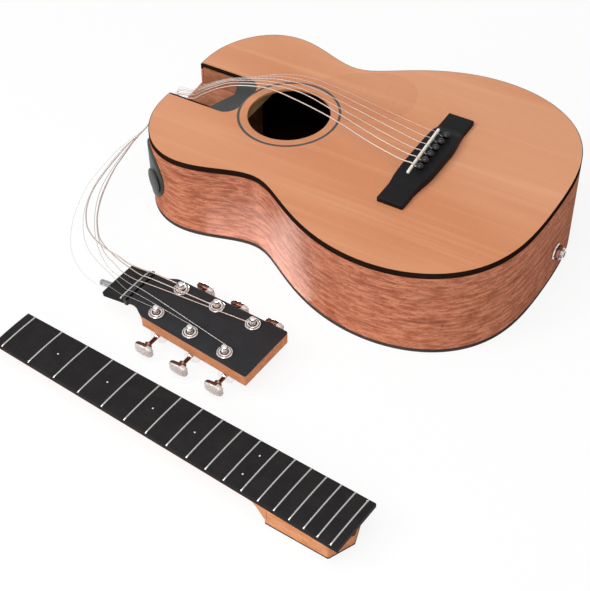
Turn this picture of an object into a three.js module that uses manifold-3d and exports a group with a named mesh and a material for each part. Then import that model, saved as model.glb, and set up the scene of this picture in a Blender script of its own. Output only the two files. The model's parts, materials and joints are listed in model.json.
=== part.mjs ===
// Take-apart travel guitar: a body with its strings still on the bridge, a loose
// bolt-free neck and a loose headstock, all three laid on one level surface.
// Millimetres, +Z up, origin on the flat back under the middle of the body,
// +Y toward the neck end, +X toward the treble side.

import * as THREE from 'three';
import { mergeVertices } from 'three/addons/utils/BufferGeometryUtils.js';
import Module from 'manifold-3d';

const wasm = await Module();
wasm.setup();

// Clearances and shared sizes
const seam = 0.3;
const runningGap = 0.3;
const overrun = 5;
const stringScale = 615;
const degree = Math.PI / 180;

// Body shell
const bodyLength = 405.7;
const depthAtNeck = 85.5;
const depthAtTail = 102.9;
const outlineCentreY = 64.5;
const outlineShares = [
  0.4016, -0.135, 0.1401, -0.0375, -0.0337, 0.0093, -0.0068, 0.002, -0.001, 0.0004, -0.0022,
];
const boardThickness = 3;
const backThickness = 2.5;
const rimThickness = 2.2;
const bindingWidth = 2;
const topBindingHeight = 6;
const backBindingHeight = 4.5;
const liningWidth = 7;
const liningHeight = 11;

// Soundhole and rosette
const holeCentreY = 80;
const holeRadius = 40.4;
const rosetteRadius = 49.5;
const rosetteWidth = 2.6;
const rosetteDepth = 1.2;

// Neck pocket
const pocketHalfWidth = 27;
const pocketDepth = 23.5;
const pocketTipY = 143.8;
const pocketTipRise = 10.6;
const pocketEndY = 129.2;
const pocketCornerRadius = 15;
const pocketEdging = 2;
const pocketPlateThickness = 4;

// Inner woodwork
const blockHalfWidth = 40;
const blockEndY = 122.5;
const blockFaceDepth = 16;
const blockFaceWidth = 15.5;
const tailBlockHalfWidth = 30;
const tailBlockDepth = 18;
const braceWidth = 7;
const braceHeight = 12;
const braceCrossingY = 8;
const braceReach = 260;
const backBraceShares = [-0.36, -0.16, 0.06, 0.24];
const backBraceHeight = 10;
const backStripWidth = 14;
const backStripHeight = 4;
const bridgePlateHalfLength = 48;
const bridgePlateThickness = 2.5;

// Bridge, saddle and pins
const bridgeHalfLength = 70.5;
const bridgeNeckY = -57.3;
const bridgeTailY = -84.3;
const bellyNeckBulge = 1.5;
const bellyTailBulge = 3.7;
const bellyHalfLength = 35;
const bellyBlend = 14;
const wingHeight = 5;
const bellyHeight = 8;
const saddleCentre = [3.3, -65.4];
const saddleLength = 70;
const saddleWidth = 3;
const saddleSlot = 3;
const saddleRise = 3;
const saddleBevel = 0.9;
const saddleAngle = 3.8 * degree;
const pinCentreX = 4.8;
const pinSpacing = 10.3;
const pinY = -74.6;
const pinBallRadius = 3.6;
const pinCollarRadius = 3.2;
const pinShankRadius = 2.5;
const pinShankLength = 17;

// Pickguard
const pickguardThickness = 0.4;
const pickguardReach = 129;
const pickguardFrom = -78 * degree;
const pickguardTo = 8 * degree;
const pickguardEdgeShares = [
  [-1.09, 0.86], [-0.94, 0.95], [-0.79, 1], [-0.63, 0.985], [-0.49, 0.9], [-0.23, 0.66], [-0.05, 0.51],
];

// Round side panel with its knob
const panelRadius = 29;
const panelCentreZ = 47;
const panelThickness = 2.2;
const panelAngle = 39.5 * degree;
const knobAngle = 45 * degree;
const knobCentreZ = 43;
const knobRadius = 13;
const knobHeight = 3;
const knobStemRadius = 3;
const knobStemLength = 7;

// Output jack in the tail
const jackX = 13;
const jackZ = 38;
const jackBarrelRadius = 5.8;
const jackBoreRadius = 3.2;
const jackFlangeRadius = 8;
const jackFlangeThickness = 2.4;
const jackNutRadius = 6.6;
const jackNutLength = 4.5;
const jackTipLength = 3;
const jackInsideLength = 34;

// Neck piece, measured from the zero-fret line along the fretboard
const neckStart = 25.2;
const fretboardEnd = 404.4;
const nutHalfWidth = 21.7;
const boardTaperShare = 0.0143;
const fretboardThickness = 5.5;
const fretCount = 18;
const fretWidth = 2.3;
const fretHeight = 1;
const shaftDepthAtNut = 21.2;
const shaftDepthAtHeel = 23.6;
const shaftPower = 1.4;
const heelStart = 333;
const heelBlend = 18;
const heelDepth = 26.9;
const heelHalfWidth = 26.4;
const heelEndHalfWidth = 24.6;
const heelShoulder = 393;
const heelTip = 402.7;
const heelCapThickness = 2;
const rodSlotWidth = 6;
const rodSlotHeight = 9;
const rodSlotLength = 14;
const neckPlace = [-313.9, 204.5];
const neckYaw = -94.3 * degree;

// Headstock piece, measured from the nut along the headstock
const headPlace = [-219.8, 105.5];
const headYaw = -93.6 * degree;
const headLength = 145.5;
const headThickness = 12.2;
const headplateThickness = 1.5;
const headHalfWidth = 28;
const headEndHalfWidth = 32;
const headFlareStart = 11;
const headFlareEnd = 27;
const headAngle = 12 * degree;
const stubLength = 28;
const stubHalfWidth = 21.5;
const stubInset = 2;
const stubDepth = 20;
const stubBoardThickness = 5.2;
const zeroFretOffset = 5;
const zeroFretRise = 1.2;
const nutLength = 4;
const nutHeight = 8;
const nutRise = 1.6;
const rodRadius = 3;
const rodReach = 25;
const rodSocket = 14;

// Tuning machines
const tunerSpacing = 39.7;
const firstTunerX = 35.2;
const tunerEdgeInset = 10.2;
const housingHeight = 15.7;
const housingLength = 17;
const housingWidth = 15;
const bushingRadius = 4.6;
const washerRadius = 7.4;
const washerThickness = 1.6;
const bushingNutRadius = 5.6;
const bushingNutHeight = 1.5;
const postRadius = 3;
const postHeight = 9.3;
const postHoleRadius = 1;
const postHoleBelowTop = 2.8;
const wormWheelRadius = 3.6;
const wormWheelHeight = 5;
const shaftRadius = 1.9;
const shaftOffset = 5.8;
const shaftHeight = 10.4;
const knobReach = 45.5;
const keyLength = 20;
const keyHeight = 12.4;
const keyThickness = 8;
const keyCollarRadius = 4;
const keyCollarLength = 4;

// Strings, bass to treble: from the pin over the saddle and the soundhole, out of the pocket,
// round the bass shoulder in a loose loop, then over the zero fret and the nut to the post
const stringNames = ['low_e', 'a', 'd', 'g', 'b', 'high_e'];
const stringDiameters = [1.35, 1.07, 0.81, 0.61, 0.41, 0.305];
const stringFinishes = ['bronze', 'bronze', 'bronze', 'steel', 'steel', 'steel'];
const stringRoutes = [
  [
    [-21, -70.3, 107], [-21, -67, 109.2], [-21, -56, 108.7], [-17, -22, 110], [-5.5, 25, 110],
    [3, 69.5, 108], [8, 109, 104.5], [3.5, 139, 99], [1.5, 154.5, 92.5], [-1.5, 166.5, 86],
    [-6, 177.5, 79], [-9.5, 186, 72.5], [-15.5, 203, 70], [-20, 211, 55], [-23, 215, 33],
    [-26, 217, 17], [-32, 218.5, 18], [-36, 219, 30], [-38.5, 222, 45.5], [-50, 219, 49],
    [-62, 220.5, 46.5], [-73, 224, 43], [-90, 225.5, 38.5], [-106.5, 226, 34.5], [-124, 225, 31],
    [-140.5, 222, 28], [-156, 215.5, 26], [-168, 207.5, 25], [-178, 198, 24], [-185.5, 185.5, 24],
    [-189.5, 174.5, 24], [-192.5, 161.5, 24], [-194.5, 148, 24.5], [-197.5, 135.5, 25],
    [-201.2, 109.9, 31.1], [-201.5, 105, 32.6], [-203.8, 74, 36.2],
  ],
  [
    [-10.7, -70.1, 106.8], [-10.7, -66.3, 109], [-10.7, -56, 108.5], [-9, -22.5, 112],
    [2.5, 30, 113], [11, 74, 112], [10, 110.5, 107.5], [6, 140.5, 100], [4.5, 156, 94],
    [1, 167, 88], [-4, 178.5, 81.5], [-8, 187.5, 75], [-14.5, 204, 72.5], [-18, 212, 56],
    [-21.5, 216.5, 32], [-25.5, 219, 16], [-31.5, 220.5, 15.5], [-36, 220.5, 27],
    [-34, 224.5, 42], [-46, 222, 45], [-56.5, 224, 42], [-67, 225, 38], [-82.5, 225, 33],
    [-96, 225, 28.5], [-113, 222, 24], [-128.5, 217.5, 20.5], [-142, 212, 18],
    [-154.5, 205, 16.5], [-165.5, 196.5, 16], [-176, 186.5, 16], [-184, 174, 17.5],
    [-189.5, 163, 19.5], [-195.5, 149, 22], [-200.5, 135.5, 25], [-208.5, 110.3, 31],
    [-208.8, 105.4, 32.5], [-209.2, 28.8, 36.2],
  ],
  [
    [-0.4, -70.1, 106.5], [-0.4, -65.6, 108.8], [-0.4, -56, 108.4], [2, -20.5, 111],
    [11.5, 34, 111.5], [17.5, 76, 111], [16, 112, 106.5], [11, 141.5, 99], [7.5, 156.5, 94.5],
    [2, 167.5, 89.5], [-4, 178.5, 83.5], [-8.5, 188, 77.5], [-12.5, 203.5, 73], [-16.5, 209, 57],
    [-20, 213, 32], [-24.5, 215, 15.5], [-31, 216.5, 16], [-36, 217, 32], [-41, 219.5, 48],
    [-53, 216, 52.5], [-66, 216.5, 50.5], [-78, 217, 48], [-95, 216, 44.5], [-109.5, 215, 41],
    [-127, 211.5, 37.5], [-142.5, 207, 34.5], [-155.5, 201, 32.5], [-167.5, 194, 31],
    [-178.5, 185.5, 30], [-188.5, 176, 29], [-196.5, 166, 28.5], [-202, 156.5, 27.5],
    [-205.5, 145, 26], [-208.5, 136, 24.5], [-215.8, 110.8, 30.9], [-216.1, 105.8, 32.4],
    [-210.2, -10.9, 36.2],
  ],
  [
    [10, -70.3, 106], [10, -65, 108.7], [10, -56, 108.3], [13.5, -19.5, 110], [22.5, 38.5, 109.5],
    [28, 80, 107.5], [23.5, 113, 104.5], [16, 141.5, 97.5], [10, 156.5, 94.5], [3, 168, 90.5],
    [-4.5, 178, 85.5], [-9.5, 188, 80], [-11, 203.5, 75.5], [-14, 209, 59.5], [-18, 211.5, 36],
    [-23.5, 213, 20.5], [-31, 214.5, 21.5], [-36, 215, 37.5], [-45, 216.5, 52], [-57, 213, 56.5],
    [-70, 214, 54.5], [-84, 214, 52.5], [-102.5, 213, 49.5], [-120, 211.5, 46.5],
    [-136.5, 208.5, 43.5], [-152, 203, 41], [-165, 196.5, 39], [-176, 189.5, 37],
    [-187, 181, 35.5], [-196.5, 172, 33.5], [-205.5, 160.5, 31], [-211.5, 150.5, 29],
    [-215, 141.5, 27], [-214.5, 136.5, 24.5], [-223, 111.2, 30.8], [-223.4, 106.3, 32.3],
    [-244, -8.8, 36.2],
  ],
  [
    [20.2, -70.3, 105.9], [20.2, -64.3, 108.6], [20.2, -56, 108.2], [23.5, -18.5, 109],
    [33, 42.5, 107.5], [36.5, 83, 105.5], [30.5, 114, 102.5], [20.5, 141, 96], [13, 157, 93.5],
    [5, 168, 90.5], [-3.5, 178.5, 86.5], [-10, 187.5, 82], [-10, 203.5, 77], [-13, 212, 63.5],
    [-16.5, 218.5, 48], [-22.5, 221.5, 37.5], [-30.5, 223, 33], [-36.5, 224, 35],
    [-33.5, 226.5, 40.5], [-43.5, 224, 42.5], [-56, 226.5, 40], [-66.5, 231, 35],
    [-82.5, 234, 29.5], [-100, 234.5, 25], [-118.5, 233, 21.5], [-135.5, 229, 18.5],
    [-152, 222.5, 16.5], [-166.5, 213.5, 15], [-181, 201.5, 15], [-193, 188, 16],
    [-201.5, 174.5, 18], [-208.5, 160, 20], [-214.5, 146, 22.5], [-219, 136.5, 24.5],
    [-230.3, 111.6, 30.7], [-230.6, 106.7, 32.2], [-240.2, 30.7, 36.2],
  ],
  [
    [30.6, -70.3, 105.9], [30.6, -63.6, 108.5], [30.6, -56, 108.2], [35, -16.5, 107],
    [43.5, 46, 105], [45, 86, 103.5], [37, 114.5, 100.5], [25.5, 140.5, 94.5], [15.5, 157, 93],
    [6, 168, 91], [-3.5, 178.5, 88], [-11, 187, 84.5], [-9, 203.5, 79], [-11, 208, 67],
    [-15, 211, 56.5], [-22, 210.5, 50], [-30, 212.5, 49.5], [-36, 213, 54.5], [-52, 211, 59.5],
    [-61.5, 209, 61.5], [-73, 213, 58.5], [-85.5, 218, 54.5], [-102.5, 221.5, 50],
    [-121.5, 223, 45.5], [-142, 222.5, 41], [-162.5, 218, 36.5], [-181.5, 211.5, 32],
    [-198.5, 202, 28], [-211.5, 191.5, 25], [-221.5, 178.5, 23.5], [-229, 163.5, 23],
    [-232.5, 152, 23.5], [-234, 141.5, 24], [-231, 137.5, 24.5], [-237.6, 112.1, 30.6],
    [-237.9, 107.2, 32.2], [-239.8, 74.5, 36.2],
  ],
];

// Facet counts
const stringSides = 8;
const ringsPerSpan = 2;
const outlineSteps = 68;
const smallSides = 12;
const largeSides = 20;
const curveSteps = 7;

// Finishes
const finishes = {
  cedar: { color: 0xd9936a, roughness: 0.5, metalness: 0 },
  mahogany: { color: 0x8f4a33, roughness: 0.35, metalness: 0 },
  neckWood: { color: 0xc9865a, roughness: 0.45, metalness: 0 },
  paleWood: { color: 0xd6b48a, roughness: 0.7, metalness: 0 },
  ebony: { color: 0x2a2829, roughness: 0.5, metalness: 0 },
  binding: { color: 0x241a18, roughness: 0.35, metalness: 0 },
  bone: { color: 0xe9e2d2, roughness: 0.4, metalness: 0 },
  blackPlastic: { color: 0x2f3432, roughness: 0.35, metalness: 0 },
  clear: { color: 0xdba27d, roughness: 0.15, metalness: 0 },
  chrome: { color: 0xc4c0bc, roughness: 0.2, metalness: 1 },
  steel: { color: 0xa8a6a4, roughness: 0.3, metalness: 1 },
  bronze: { color: 0xc99a80, roughness: 0.35, metalness: 1 },
};

const guitar = new THREE.Group();

function addMesh(parent, name, geometry, finish) {
  const mesh = new THREE.Mesh(geometry, new THREE.MeshStandardMaterial(finishes[finish]));
  mesh.name = name;
  parent.add(mesh);
  return mesh;
}

// Solids for joining and cutting
function toSolid(geometry) {
  const bare = geometry.clone();
  bare.deleteAttribute('normal');
  bare.deleteAttribute('uv');
  const merged = mergeVertices(bare, seam / 1000);
  const vertProperties = new Float32Array(merged.attributes.position.array);
  const triVerts = new Uint32Array(merged.index.array);
  return new wasm.Manifold(new wasm.Mesh({ numProp: 3, vertProperties, triVerts }));
}

function toGeometry(solid) {
  const mesh = solid.getMesh();
  const geometry = new THREE.BufferGeometry();
  geometry.setAttribute('position', new THREE.BufferAttribute(mesh.vertProperties, 3));
  geometry.setIndex(new THREE.BufferAttribute(mesh.triVerts, 1));
  return geometry;
}

function cut(base, ...tools) {
  const solid = tools.reduce((whole, tool) => whole.subtract(toSolid(tool)), toSolid(base));
  return toGeometry(solid);
}

function join(first, ...others) {
  const solid = others.reduce((whole, other) => whole.add(toSolid(other)), toSolid(first));
  return toGeometry(solid);
}

function overlapOf(first, second) {
  return toGeometry(toSolid(first).intersect(toSolid(second)));
}

// Height of the top's face, which rises toward the tail
function topZ(y) {
  return (depthAtNeck + depthAtTail) / 2 + ((depthAtNeck - depthAtTail) * y) / bodyLength;
}

// Body outline in polar form, the same on both sides of the centre line
function outlineRadius(angle) {
  return bodyLength * outlineShares.reduce((sum, share, k) => sum + share * Math.cos(k * angle), 0);
}

function outlinePoint(angle, inset) {
  const step = degree / 4;
  const at = (a) => new THREE.Vector2(Math.sin(a), Math.cos(a)).multiplyScalar(outlineRadius(a));
  const tangent = at(angle + step).sub(at(angle - step)).normalize();
  const point = at(angle);
  return new THREE.Vector2(point.x + tangent.y * inset, outlineCentreY + point.y - tangent.x * inset);
}

// Angles between two given ones that divide the outline into steps of even length
function evenAngles(from, to, count) {
  const fine = 720;
  const angles = Array.from({ length: fine + 1 }, (_, i) => from + ((to - from) * i) / fine);
  const points = angles.map((angle) => outlinePoint(angle, 0));
  const lengths = [0];
  for (let i = 1; i <= fine; i += 1) {
    lengths.push(lengths[i - 1] + points[i].distanceTo(points[i - 1]));
  }
  const picked = [from];
  let j = 1;
  for (let i = 1; i < count; i += 1) {
    const goal = (lengths[fine] * i) / count;
    while (lengths[j] < goal) j += 1;
    const part = (goal - lengths[j - 1]) / (lengths[j] - lengths[j - 1]);
    picked.push(angles[j - 1] + (angles[j] - angles[j - 1]) * part);
  }
  picked.push(to);
  return picked;
}

const fullTurn = evenAngles(0, 2 * Math.PI, outlineSteps).slice(0, -1);

function outlineLoop(inset) {
  return fullTurn.map((angle) => outlinePoint(angle, inset)).reverse();
}

function outlineStrip(from, to, outerInset, innerInset, count) {
  const angles = evenAngles(from, to, count);
  const outer = angles.map((angle) => outlinePoint(angle, outerInset));
  const inner = angles.map((angle) => outlinePoint(angle, innerInset)).reverse();
  return new THREE.Shape([...outer, ...inner]);
}

function ringShape(outerInset, innerInset) {
  const shape = new THREE.Shape(outlineLoop(outerInset));
  shape.holes.push(new THREE.Path(outlineLoop(innerInset)));
  return shape;
}

function boxShape(minX, minY, maxX, maxY) {
  const corners = [[minX, minY], [maxX, minY], [maxX, maxY], [minX, maxY]];
  return new THREE.Shape(corners.map(([x, y]) => new THREE.Vector2(x, y)));
}

function circleShape(x, y, radius, count) {
  const points = Array.from({ length: count }, (_, i) => {
    const angle = (2 * Math.PI * i) / count;
    return new THREE.Vector2(x + radius * Math.cos(angle), y + radius * Math.sin(angle));
  });
  return new THREE.Shape(points);
}

// Upright prism of a plan shape between two heights, each a function of y
function upright(shape, low, high) {
  const options = { depth: 1, bevelEnabled: false, curveSegments: curveSteps };
  const geometry = new THREE.ExtrudeGeometry(shape, options);
  const position = geometry.attributes.position;
  for (let i = 0; i < position.count; i += 1) {
    const y = position.getY(i);
    position.setZ(i, low(y) + (high(y) - low(y)) * position.getZ(i));
  }
  return geometry;
}

function flat(value) {
  return () => value;
}

function uprightCylinder(x, y, radius, low, high, sides) {
  return upright(circleShape(x, y, radius, sides), flat(low), flat(high));
}

function below(distance) {
  return (y) => topZ(y) - distance;
}

// Turned piece along +Z from [radius, height] pairs
function turned(profile, segments) {
  const points = profile.map(([radius, height]) => new THREE.Vector2(radius, height));
  return new THREE.LatheGeometry(points, segments);
}

// Pocket plan, open past the neck end, with the arrow-shaped inner end
function pocketShape(spread) {
  const half = pocketHalfWidth + spread;
  const end = bodyLength / 2 + overrun * 2;
  const shape = new THREE.Shape();
  shape.moveTo(-half, end);
  shape.lineTo(-half, pocketTipY + pocketTipRise - spread);
  shape.lineTo(0, pocketTipY - spread);
  shape.lineTo(half, pocketTipY + pocketTipRise - spread);
  shape.lineTo(half, end);
  return shape;
}

// Opening in the top over the pocket, with rounded inner corners
function pocketMouthShape(spread) {
  const half = pocketHalfWidth + pocketEdging + spread;
  const low = pocketEndY - spread;
  const radius = pocketCornerRadius + spread;
  const end = bodyLength / 2 + overrun * 2;
  const shape = new THREE.Shape();
  shape.moveTo(-half, end);
  shape.lineTo(-half, low + radius);
  shape.absarc(-half + radius, low + radius, radius, Math.PI, 1.5 * Math.PI, false);
  shape.absarc(half - radius, low + radius, radius, 1.5 * Math.PI, 2 * Math.PI, false);
  shape.lineTo(half, end);
  return shape;
}

const edgingStartY = pocketTipY + pocketTipRise;
const edgingEndY = outlineCentreY + outlineRadius(0) + overrun;

function buildShell() {
  const boardInset = bindingWidth + seam;
  const board = upright(new THREE.Shape(outlineLoop(boardInset)), below(boardThickness), below(0));
  const holePlan = circleShape(0, holeCentreY, holeRadius, largeSides * 2);
  const hole = upright(holePlan, below(boardThickness + overrun), below(-overrun));
  const mouth = upright(pocketMouthShape(seam), below(boardThickness + overrun), below(-overrun));
  const groove = rosetteRing(seam, seam, overrun);
  addMesh(guitar, 'soundboard', cut(board, hole, mouth, groove), 'cedar');

  const ring = rosetteRing(0, 0, 0);
  addMesh(guitar, 'rosette', cut(ring, mouth), 'binding');

  const back = upright(new THREE.Shape(outlineLoop(boardInset)), flat(0), flat(backThickness));
  addMesh(guitar, 'back', back, 'mahogany');

  const pocket = upright(pocketShape(0), below(pocketDepth), below(-overrun));
  const rimLow = flat(backBindingHeight + seam);
  const rimHigh = below(topBindingHeight + seam);
  const seamAngle = seam / bodyLength;
  const panelBore = knobBore(knobStemRadius + runningGap);
  const jackBore = tailBore(jackBarrelRadius + seam);
  const treble = outlineStrip(seamAngle, Math.PI - seamAngle, 0, rimThickness, outlineSteps / 2);
  const bassEnds = [Math.PI + seamAngle, 2 * Math.PI - seamAngle];
  const bass = outlineStrip(...bassEnds, 0, rimThickness, outlineSteps / 2);
  addMesh(guitar, 'rim_treble', cut(upright(treble, rimLow, rimHigh), pocket, jackBore), 'mahogany');
  addMesh(guitar, 'rim_bass', cut(upright(bass, rimLow, rimHigh), pocket, panelBore), 'mahogany');

  const ringTop = upright(ringShape(0, bindingWidth), below(topBindingHeight), below(0));
  const edges = [-1, 1].map((side) => {
    const inner = side * pocketHalfWidth;
    const outer = side * (pocketHalfWidth + pocketEdging);
    const ends = [Math.min(inner, outer), Math.max(inner, outer)];
    const plan = boxShape(ends[0], edgingStartY + seam, ends[1], edgingEndY);
    return upright(plan, below(boardThickness), below(0));
  });
  const outside = upright(new THREE.Shape(outlineLoop(0)), flat(0), below(-overrun));
  const wayPlan = boxShape(-pocketHalfWidth, edgingStartY, pocketHalfWidth, bodyLength);
  const pocketWay = upright(wayPlan, flat(0), below(-overrun));
  const edging = overlapOf(join(ringTop, ...edges), outside);
  addMesh(guitar, 'top_binding', cut(edging, pocketWay), 'binding');
  const ringBack = upright(ringShape(0, bindingWidth), flat(0), flat(backBindingHeight));
  addMesh(guitar, 'back_binding', ringBack, 'binding');
}

function rosetteRing(spreadOut, spreadDown, spreadUp) {
  const outer = rosetteRadius + rosetteWidth / 2 + spreadOut;
  const inner = rosetteRadius - rosetteWidth / 2 - spreadOut;
  const shape = circleShape(0, holeCentreY, outer, largeSides * 2);
  shape.holes.push(circleShape(0, holeCentreY, inner, largeSides * 2));
  return upright(shape, below(rosetteDepth + spreadDown), below(-spreadUp));
}

function buildInside() {
  const liningInset = rimThickness + seam;
  const liningPlan = ringShape(liningInset, liningInset + liningWidth);
  const underBoard = boardThickness + seam;
  const blockSpace = boxShape(-blockHalfWidth - seam, blockEndY, blockHalfWidth + seam, bodyLength);
  const tailSpace = boxShape(-tailBlockHalfWidth - seam, -bodyLength, tailBlockHalfWidth + seam, 0);
  const blockGap = upright(blockSpace, flat(0), below(-overrun));
  const tailGap = upright(tailSpace, flat(0), below(-overrun));
  const topLining = upright(liningPlan, below(underBoard + liningHeight), below(underBoard));
  const sides = splitSides(topLining, blockGap, tailGap);
  addMesh(guitar, 'top_lining_treble', sides[0], 'paleWood');
  addMesh(guitar, 'top_lining_bass', sides[1], 'paleWood');

  const inside = upright(new THREE.Shape(outlineLoop(liningInset)), flat(0), below(-overrun));
  const blockPlan = boxShape(-blockHalfWidth, blockEndY, blockHalfWidth, bodyLength);
  const block = overlapOf(upright(blockPlan, flat(backThickness + seam), below(underBoard)), inside);
  const pocket = upright(pocketShape(0), below(pocketDepth), below(-overrun));
  const plateSeat = upright(pocketMouthShape(seam), below(pocketPlateThickness + seam), below(-overrun));
  const undercutPlan = boxShape(-bodyLength, 0, bodyLength, blockEndY + blockFaceWidth);
  const undercut = upright(undercutPlan, flat(0), below(blockFaceDepth));
  addMesh(guitar, 'neck_block', cut(block, pocket, plateSeat, undercut), 'mahogany');

  const plateStock = upright(pocketMouthShape(0), below(pocketPlateThickness), below(0));
  const plateEdge = boxShape(-bodyLength, pocketEndY - overrun, bodyLength, edgingStartY);
  const plateSpace = upright(plateEdge, flat(0), below(-overrun));
  addMesh(guitar, 'pocket_plate', cut(overlapOf(plateStock, plateSpace), pocket), 'blackPlastic');

  const tailFaceY = tailBlockDepth - bodyLength / 2;
  const tailPlan = boxShape(-tailBlockHalfWidth, -bodyLength, tailBlockHalfWidth, tailFaceY);
  const tailStock = upright(tailPlan, flat(backThickness + seam), below(underBoard));
  const tailBlock = cut(overlapOf(tailStock, inside), tailBore(jackBarrelRadius + seam));
  addMesh(guitar, 'tail_block', tailBlock, 'mahogany');

  const braceInset = liningInset + liningWidth + seam;
  const braceSpace = upright(new THREE.Shape(outlineLoop(braceInset)), flat(0), below(-overrun));
  const arms = [-1, 1].map((side) => {
    const reach = new THREE.Vector2(side, 1).setLength(braceReach / 2);
    const across = new THREE.Vector2(reach.y, -reach.x).setLength(braceWidth / 2);
    const centre = new THREE.Vector2(0, braceCrossingY);
    const corner = (a, b) => centre.clone().addScaledVector(reach, a).addScaledVector(across, b);
    const plan = new THREE.Shape([corner(-1, -1), corner(1, -1), corner(1, 1), corner(-1, 1)]);
    return upright(plan, below(underBoard + braceHeight), below(underBoard));
  });
  const crossing = overlapOf(join(...arms), braceSpace);
  addMesh(guitar, 'x_brace', cut(crossing, blockGap), 'paleWood');

  const plateLowY = bridgeTailY - bellyTailBulge;
  const platePlan = boxShape(-bridgePlateHalfLength, plateLowY, bridgePlateHalfLength, bridgeNeckY);
  const plateHigh = below(underBoard);
  const bridgePlate = upright(platePlan, below(underBoard + bridgePlateThickness), plateHigh);
  addMesh(guitar, 'bridge_plate', cut(bridgePlate, ...pinHoles()), 'paleWood');

  const backSeat = backThickness + seam;
  const ladder = backBraceShares.map((share) => {
    const y = share * bodyLength;
    const plan = boxShape(-bodyLength, y - braceWidth / 2, bodyLength, y + braceWidth / 2);
    return upright(plan, flat(backSeat), flat(backSeat + backBraceHeight));
  });
  const spine = boxShape(-backStripWidth / 2, -bodyLength, backStripWidth / 2, blockEndY - seam);
  const strip = upright(spine, flat(backSeat), flat(backSeat + backStripHeight));
  const tailSpan = tailGap.clone().translate(0, tailBlockDepth + seam - bodyLength / 2, 0);
  const backSpace = cut(braceSpace, tailSpan);
  addMesh(guitar, 'back_braces', overlapOf(join(strip, ...ladder), backSpace), 'paleWood');
}

// Treble and bass halves of a ring once the two end blocks are taken out of it
function splitSides(ring, blockGap, tailGap) {
  const blockLow = tailGap.clone().translate(0, tailBlockDepth + seam - bodyLength / 2, 0);
  return [1, -1].map((side) => {
    const edge = side * bodyLength;
    const half = boxShape(Math.min(0, edge), -bodyLength, Math.max(0, edge), bodyLength);
    const part = overlapOf(ring, upright(half, flat(0), below(-overrun)));
    return cut(part, blockGap, blockLow);
  });
}

function pinPlaces() {
  return stringNames.map((_, i) => [pinCentreX + (i - (stringNames.length - 1) / 2) * pinSpacing, pinY]);
}

function pinHoles() {
  return pinPlaces().map(([x, y]) => {
    const plan = circleShape(x, y, pinShankRadius + seam, smallSides);
    return upright(plan, below(bodyLength), below(-bellyHeight - overrun));
  });
}

function buildBridge() {
  const seat = -seam;
  const wings = boxShape(-bridgeHalfLength, bridgeTailY, bridgeHalfLength, bridgeNeckY);
  const inner = bellyHalfLength;
  const outer = bellyHalfLength + bellyBlend;
  const neckY = bridgeNeckY + bellyNeckBulge;
  const tailEdgeY = bridgeTailY - bellyTailBulge;
  const belly = new THREE.Shape();
  belly.moveTo(-outer, bridgeNeckY);
  belly.bezierCurveTo(-inner, bridgeNeckY, -outer, neckY, -inner, neckY);
  belly.lineTo(inner, neckY);
  belly.bezierCurveTo(outer, neckY, inner, bridgeNeckY, outer, bridgeNeckY);
  belly.lineTo(outer, bridgeTailY);
  belly.bezierCurveTo(inner, bridgeTailY, outer, tailEdgeY, inner, tailEdgeY);
  belly.lineTo(-inner, tailEdgeY);
  belly.bezierCurveTo(-outer, tailEdgeY, -inner, bridgeTailY, -outer, bridgeTailY);
  const wingPart = upright(wings, below(seat), below(-wingHeight));
  const body = join(wingPart, upright(belly, below(seat), below(-bellyHeight)));
  const slotLow = below(saddleSlot + seam - bellyHeight);
  const slot = upright(saddleShape(seam), slotLow, below(-bellyHeight - overrun));
  addMesh(guitar, 'bridge', cut(body, slot, ...pinHoles()), 'ebony');

  const saddle = new THREE.ExtrudeGeometry(saddleShape(-saddleBevel), {
    depth: saddleSlot + saddleRise - saddleBevel * 2,
    bevelThickness: saddleBevel,
    bevelSize: saddleBevel,
    bevelSegments: 2,
  });
  saddle.translate(0, 0, topZ(saddleCentre[1]) + bellyHeight - saddleSlot + saddleBevel);
  addMesh(guitar, 'saddle', saddle, 'bone');

  const soundboard = guitar.getObjectByName('soundboard');
  soundboard.geometry = cut(soundboard.geometry, ...pinHoles());

  pinPlaces().forEach(([x, y], i) => {
    const pin = turned(pinProfile(), smallSides);
    pin.rotateX(Math.PI / 2);
    pin.translate(x, y, topZ(y) + bellyHeight + seam);
    addMesh(guitar, `bridge_pin_${i + 1}`, pin, 'blackPlastic');
  });
}

// Saddle plan, slanted back on the bass side
function saddleShape(spread) {
  const half = saddleLength / 2 + spread;
  const side = saddleWidth / 2 + spread;
  const corners = [[-half, -side], [half, -side], [half, side], [-half, side]];
  return new THREE.Shape(corners.map(([x, y]) => {
    const turnedX = x * Math.cos(saddleAngle) - y * Math.sin(saddleAngle);
    const turnedY = x * Math.sin(saddleAngle) + y * Math.cos(saddleAngle);
    return new THREE.Vector2(saddleCentre[0] + turnedX, saddleCentre[1] + turnedY);
  }));
}

// Pin from the tip of its shank, over its collar and round its ball head, about +Y
function pinProfile() {
  const ballRise = pinBallRadius * 0.8;
  const arc = [-40, -5, 30, 60].map((angle) => {
    const a = angle * degree;
    return [pinBallRadius * Math.cos(a), ballRise + pinBallRadius * Math.sin(a)];
  });
  return [
    [0, -pinShankLength],
    [pinShankRadius * 0.8, -pinShankLength],
    [pinShankRadius, -seam],
    [pinCollarRadius, 0],
    ...arc,
    [0, ballRise + pinBallRadius],
  ];
}

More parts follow.
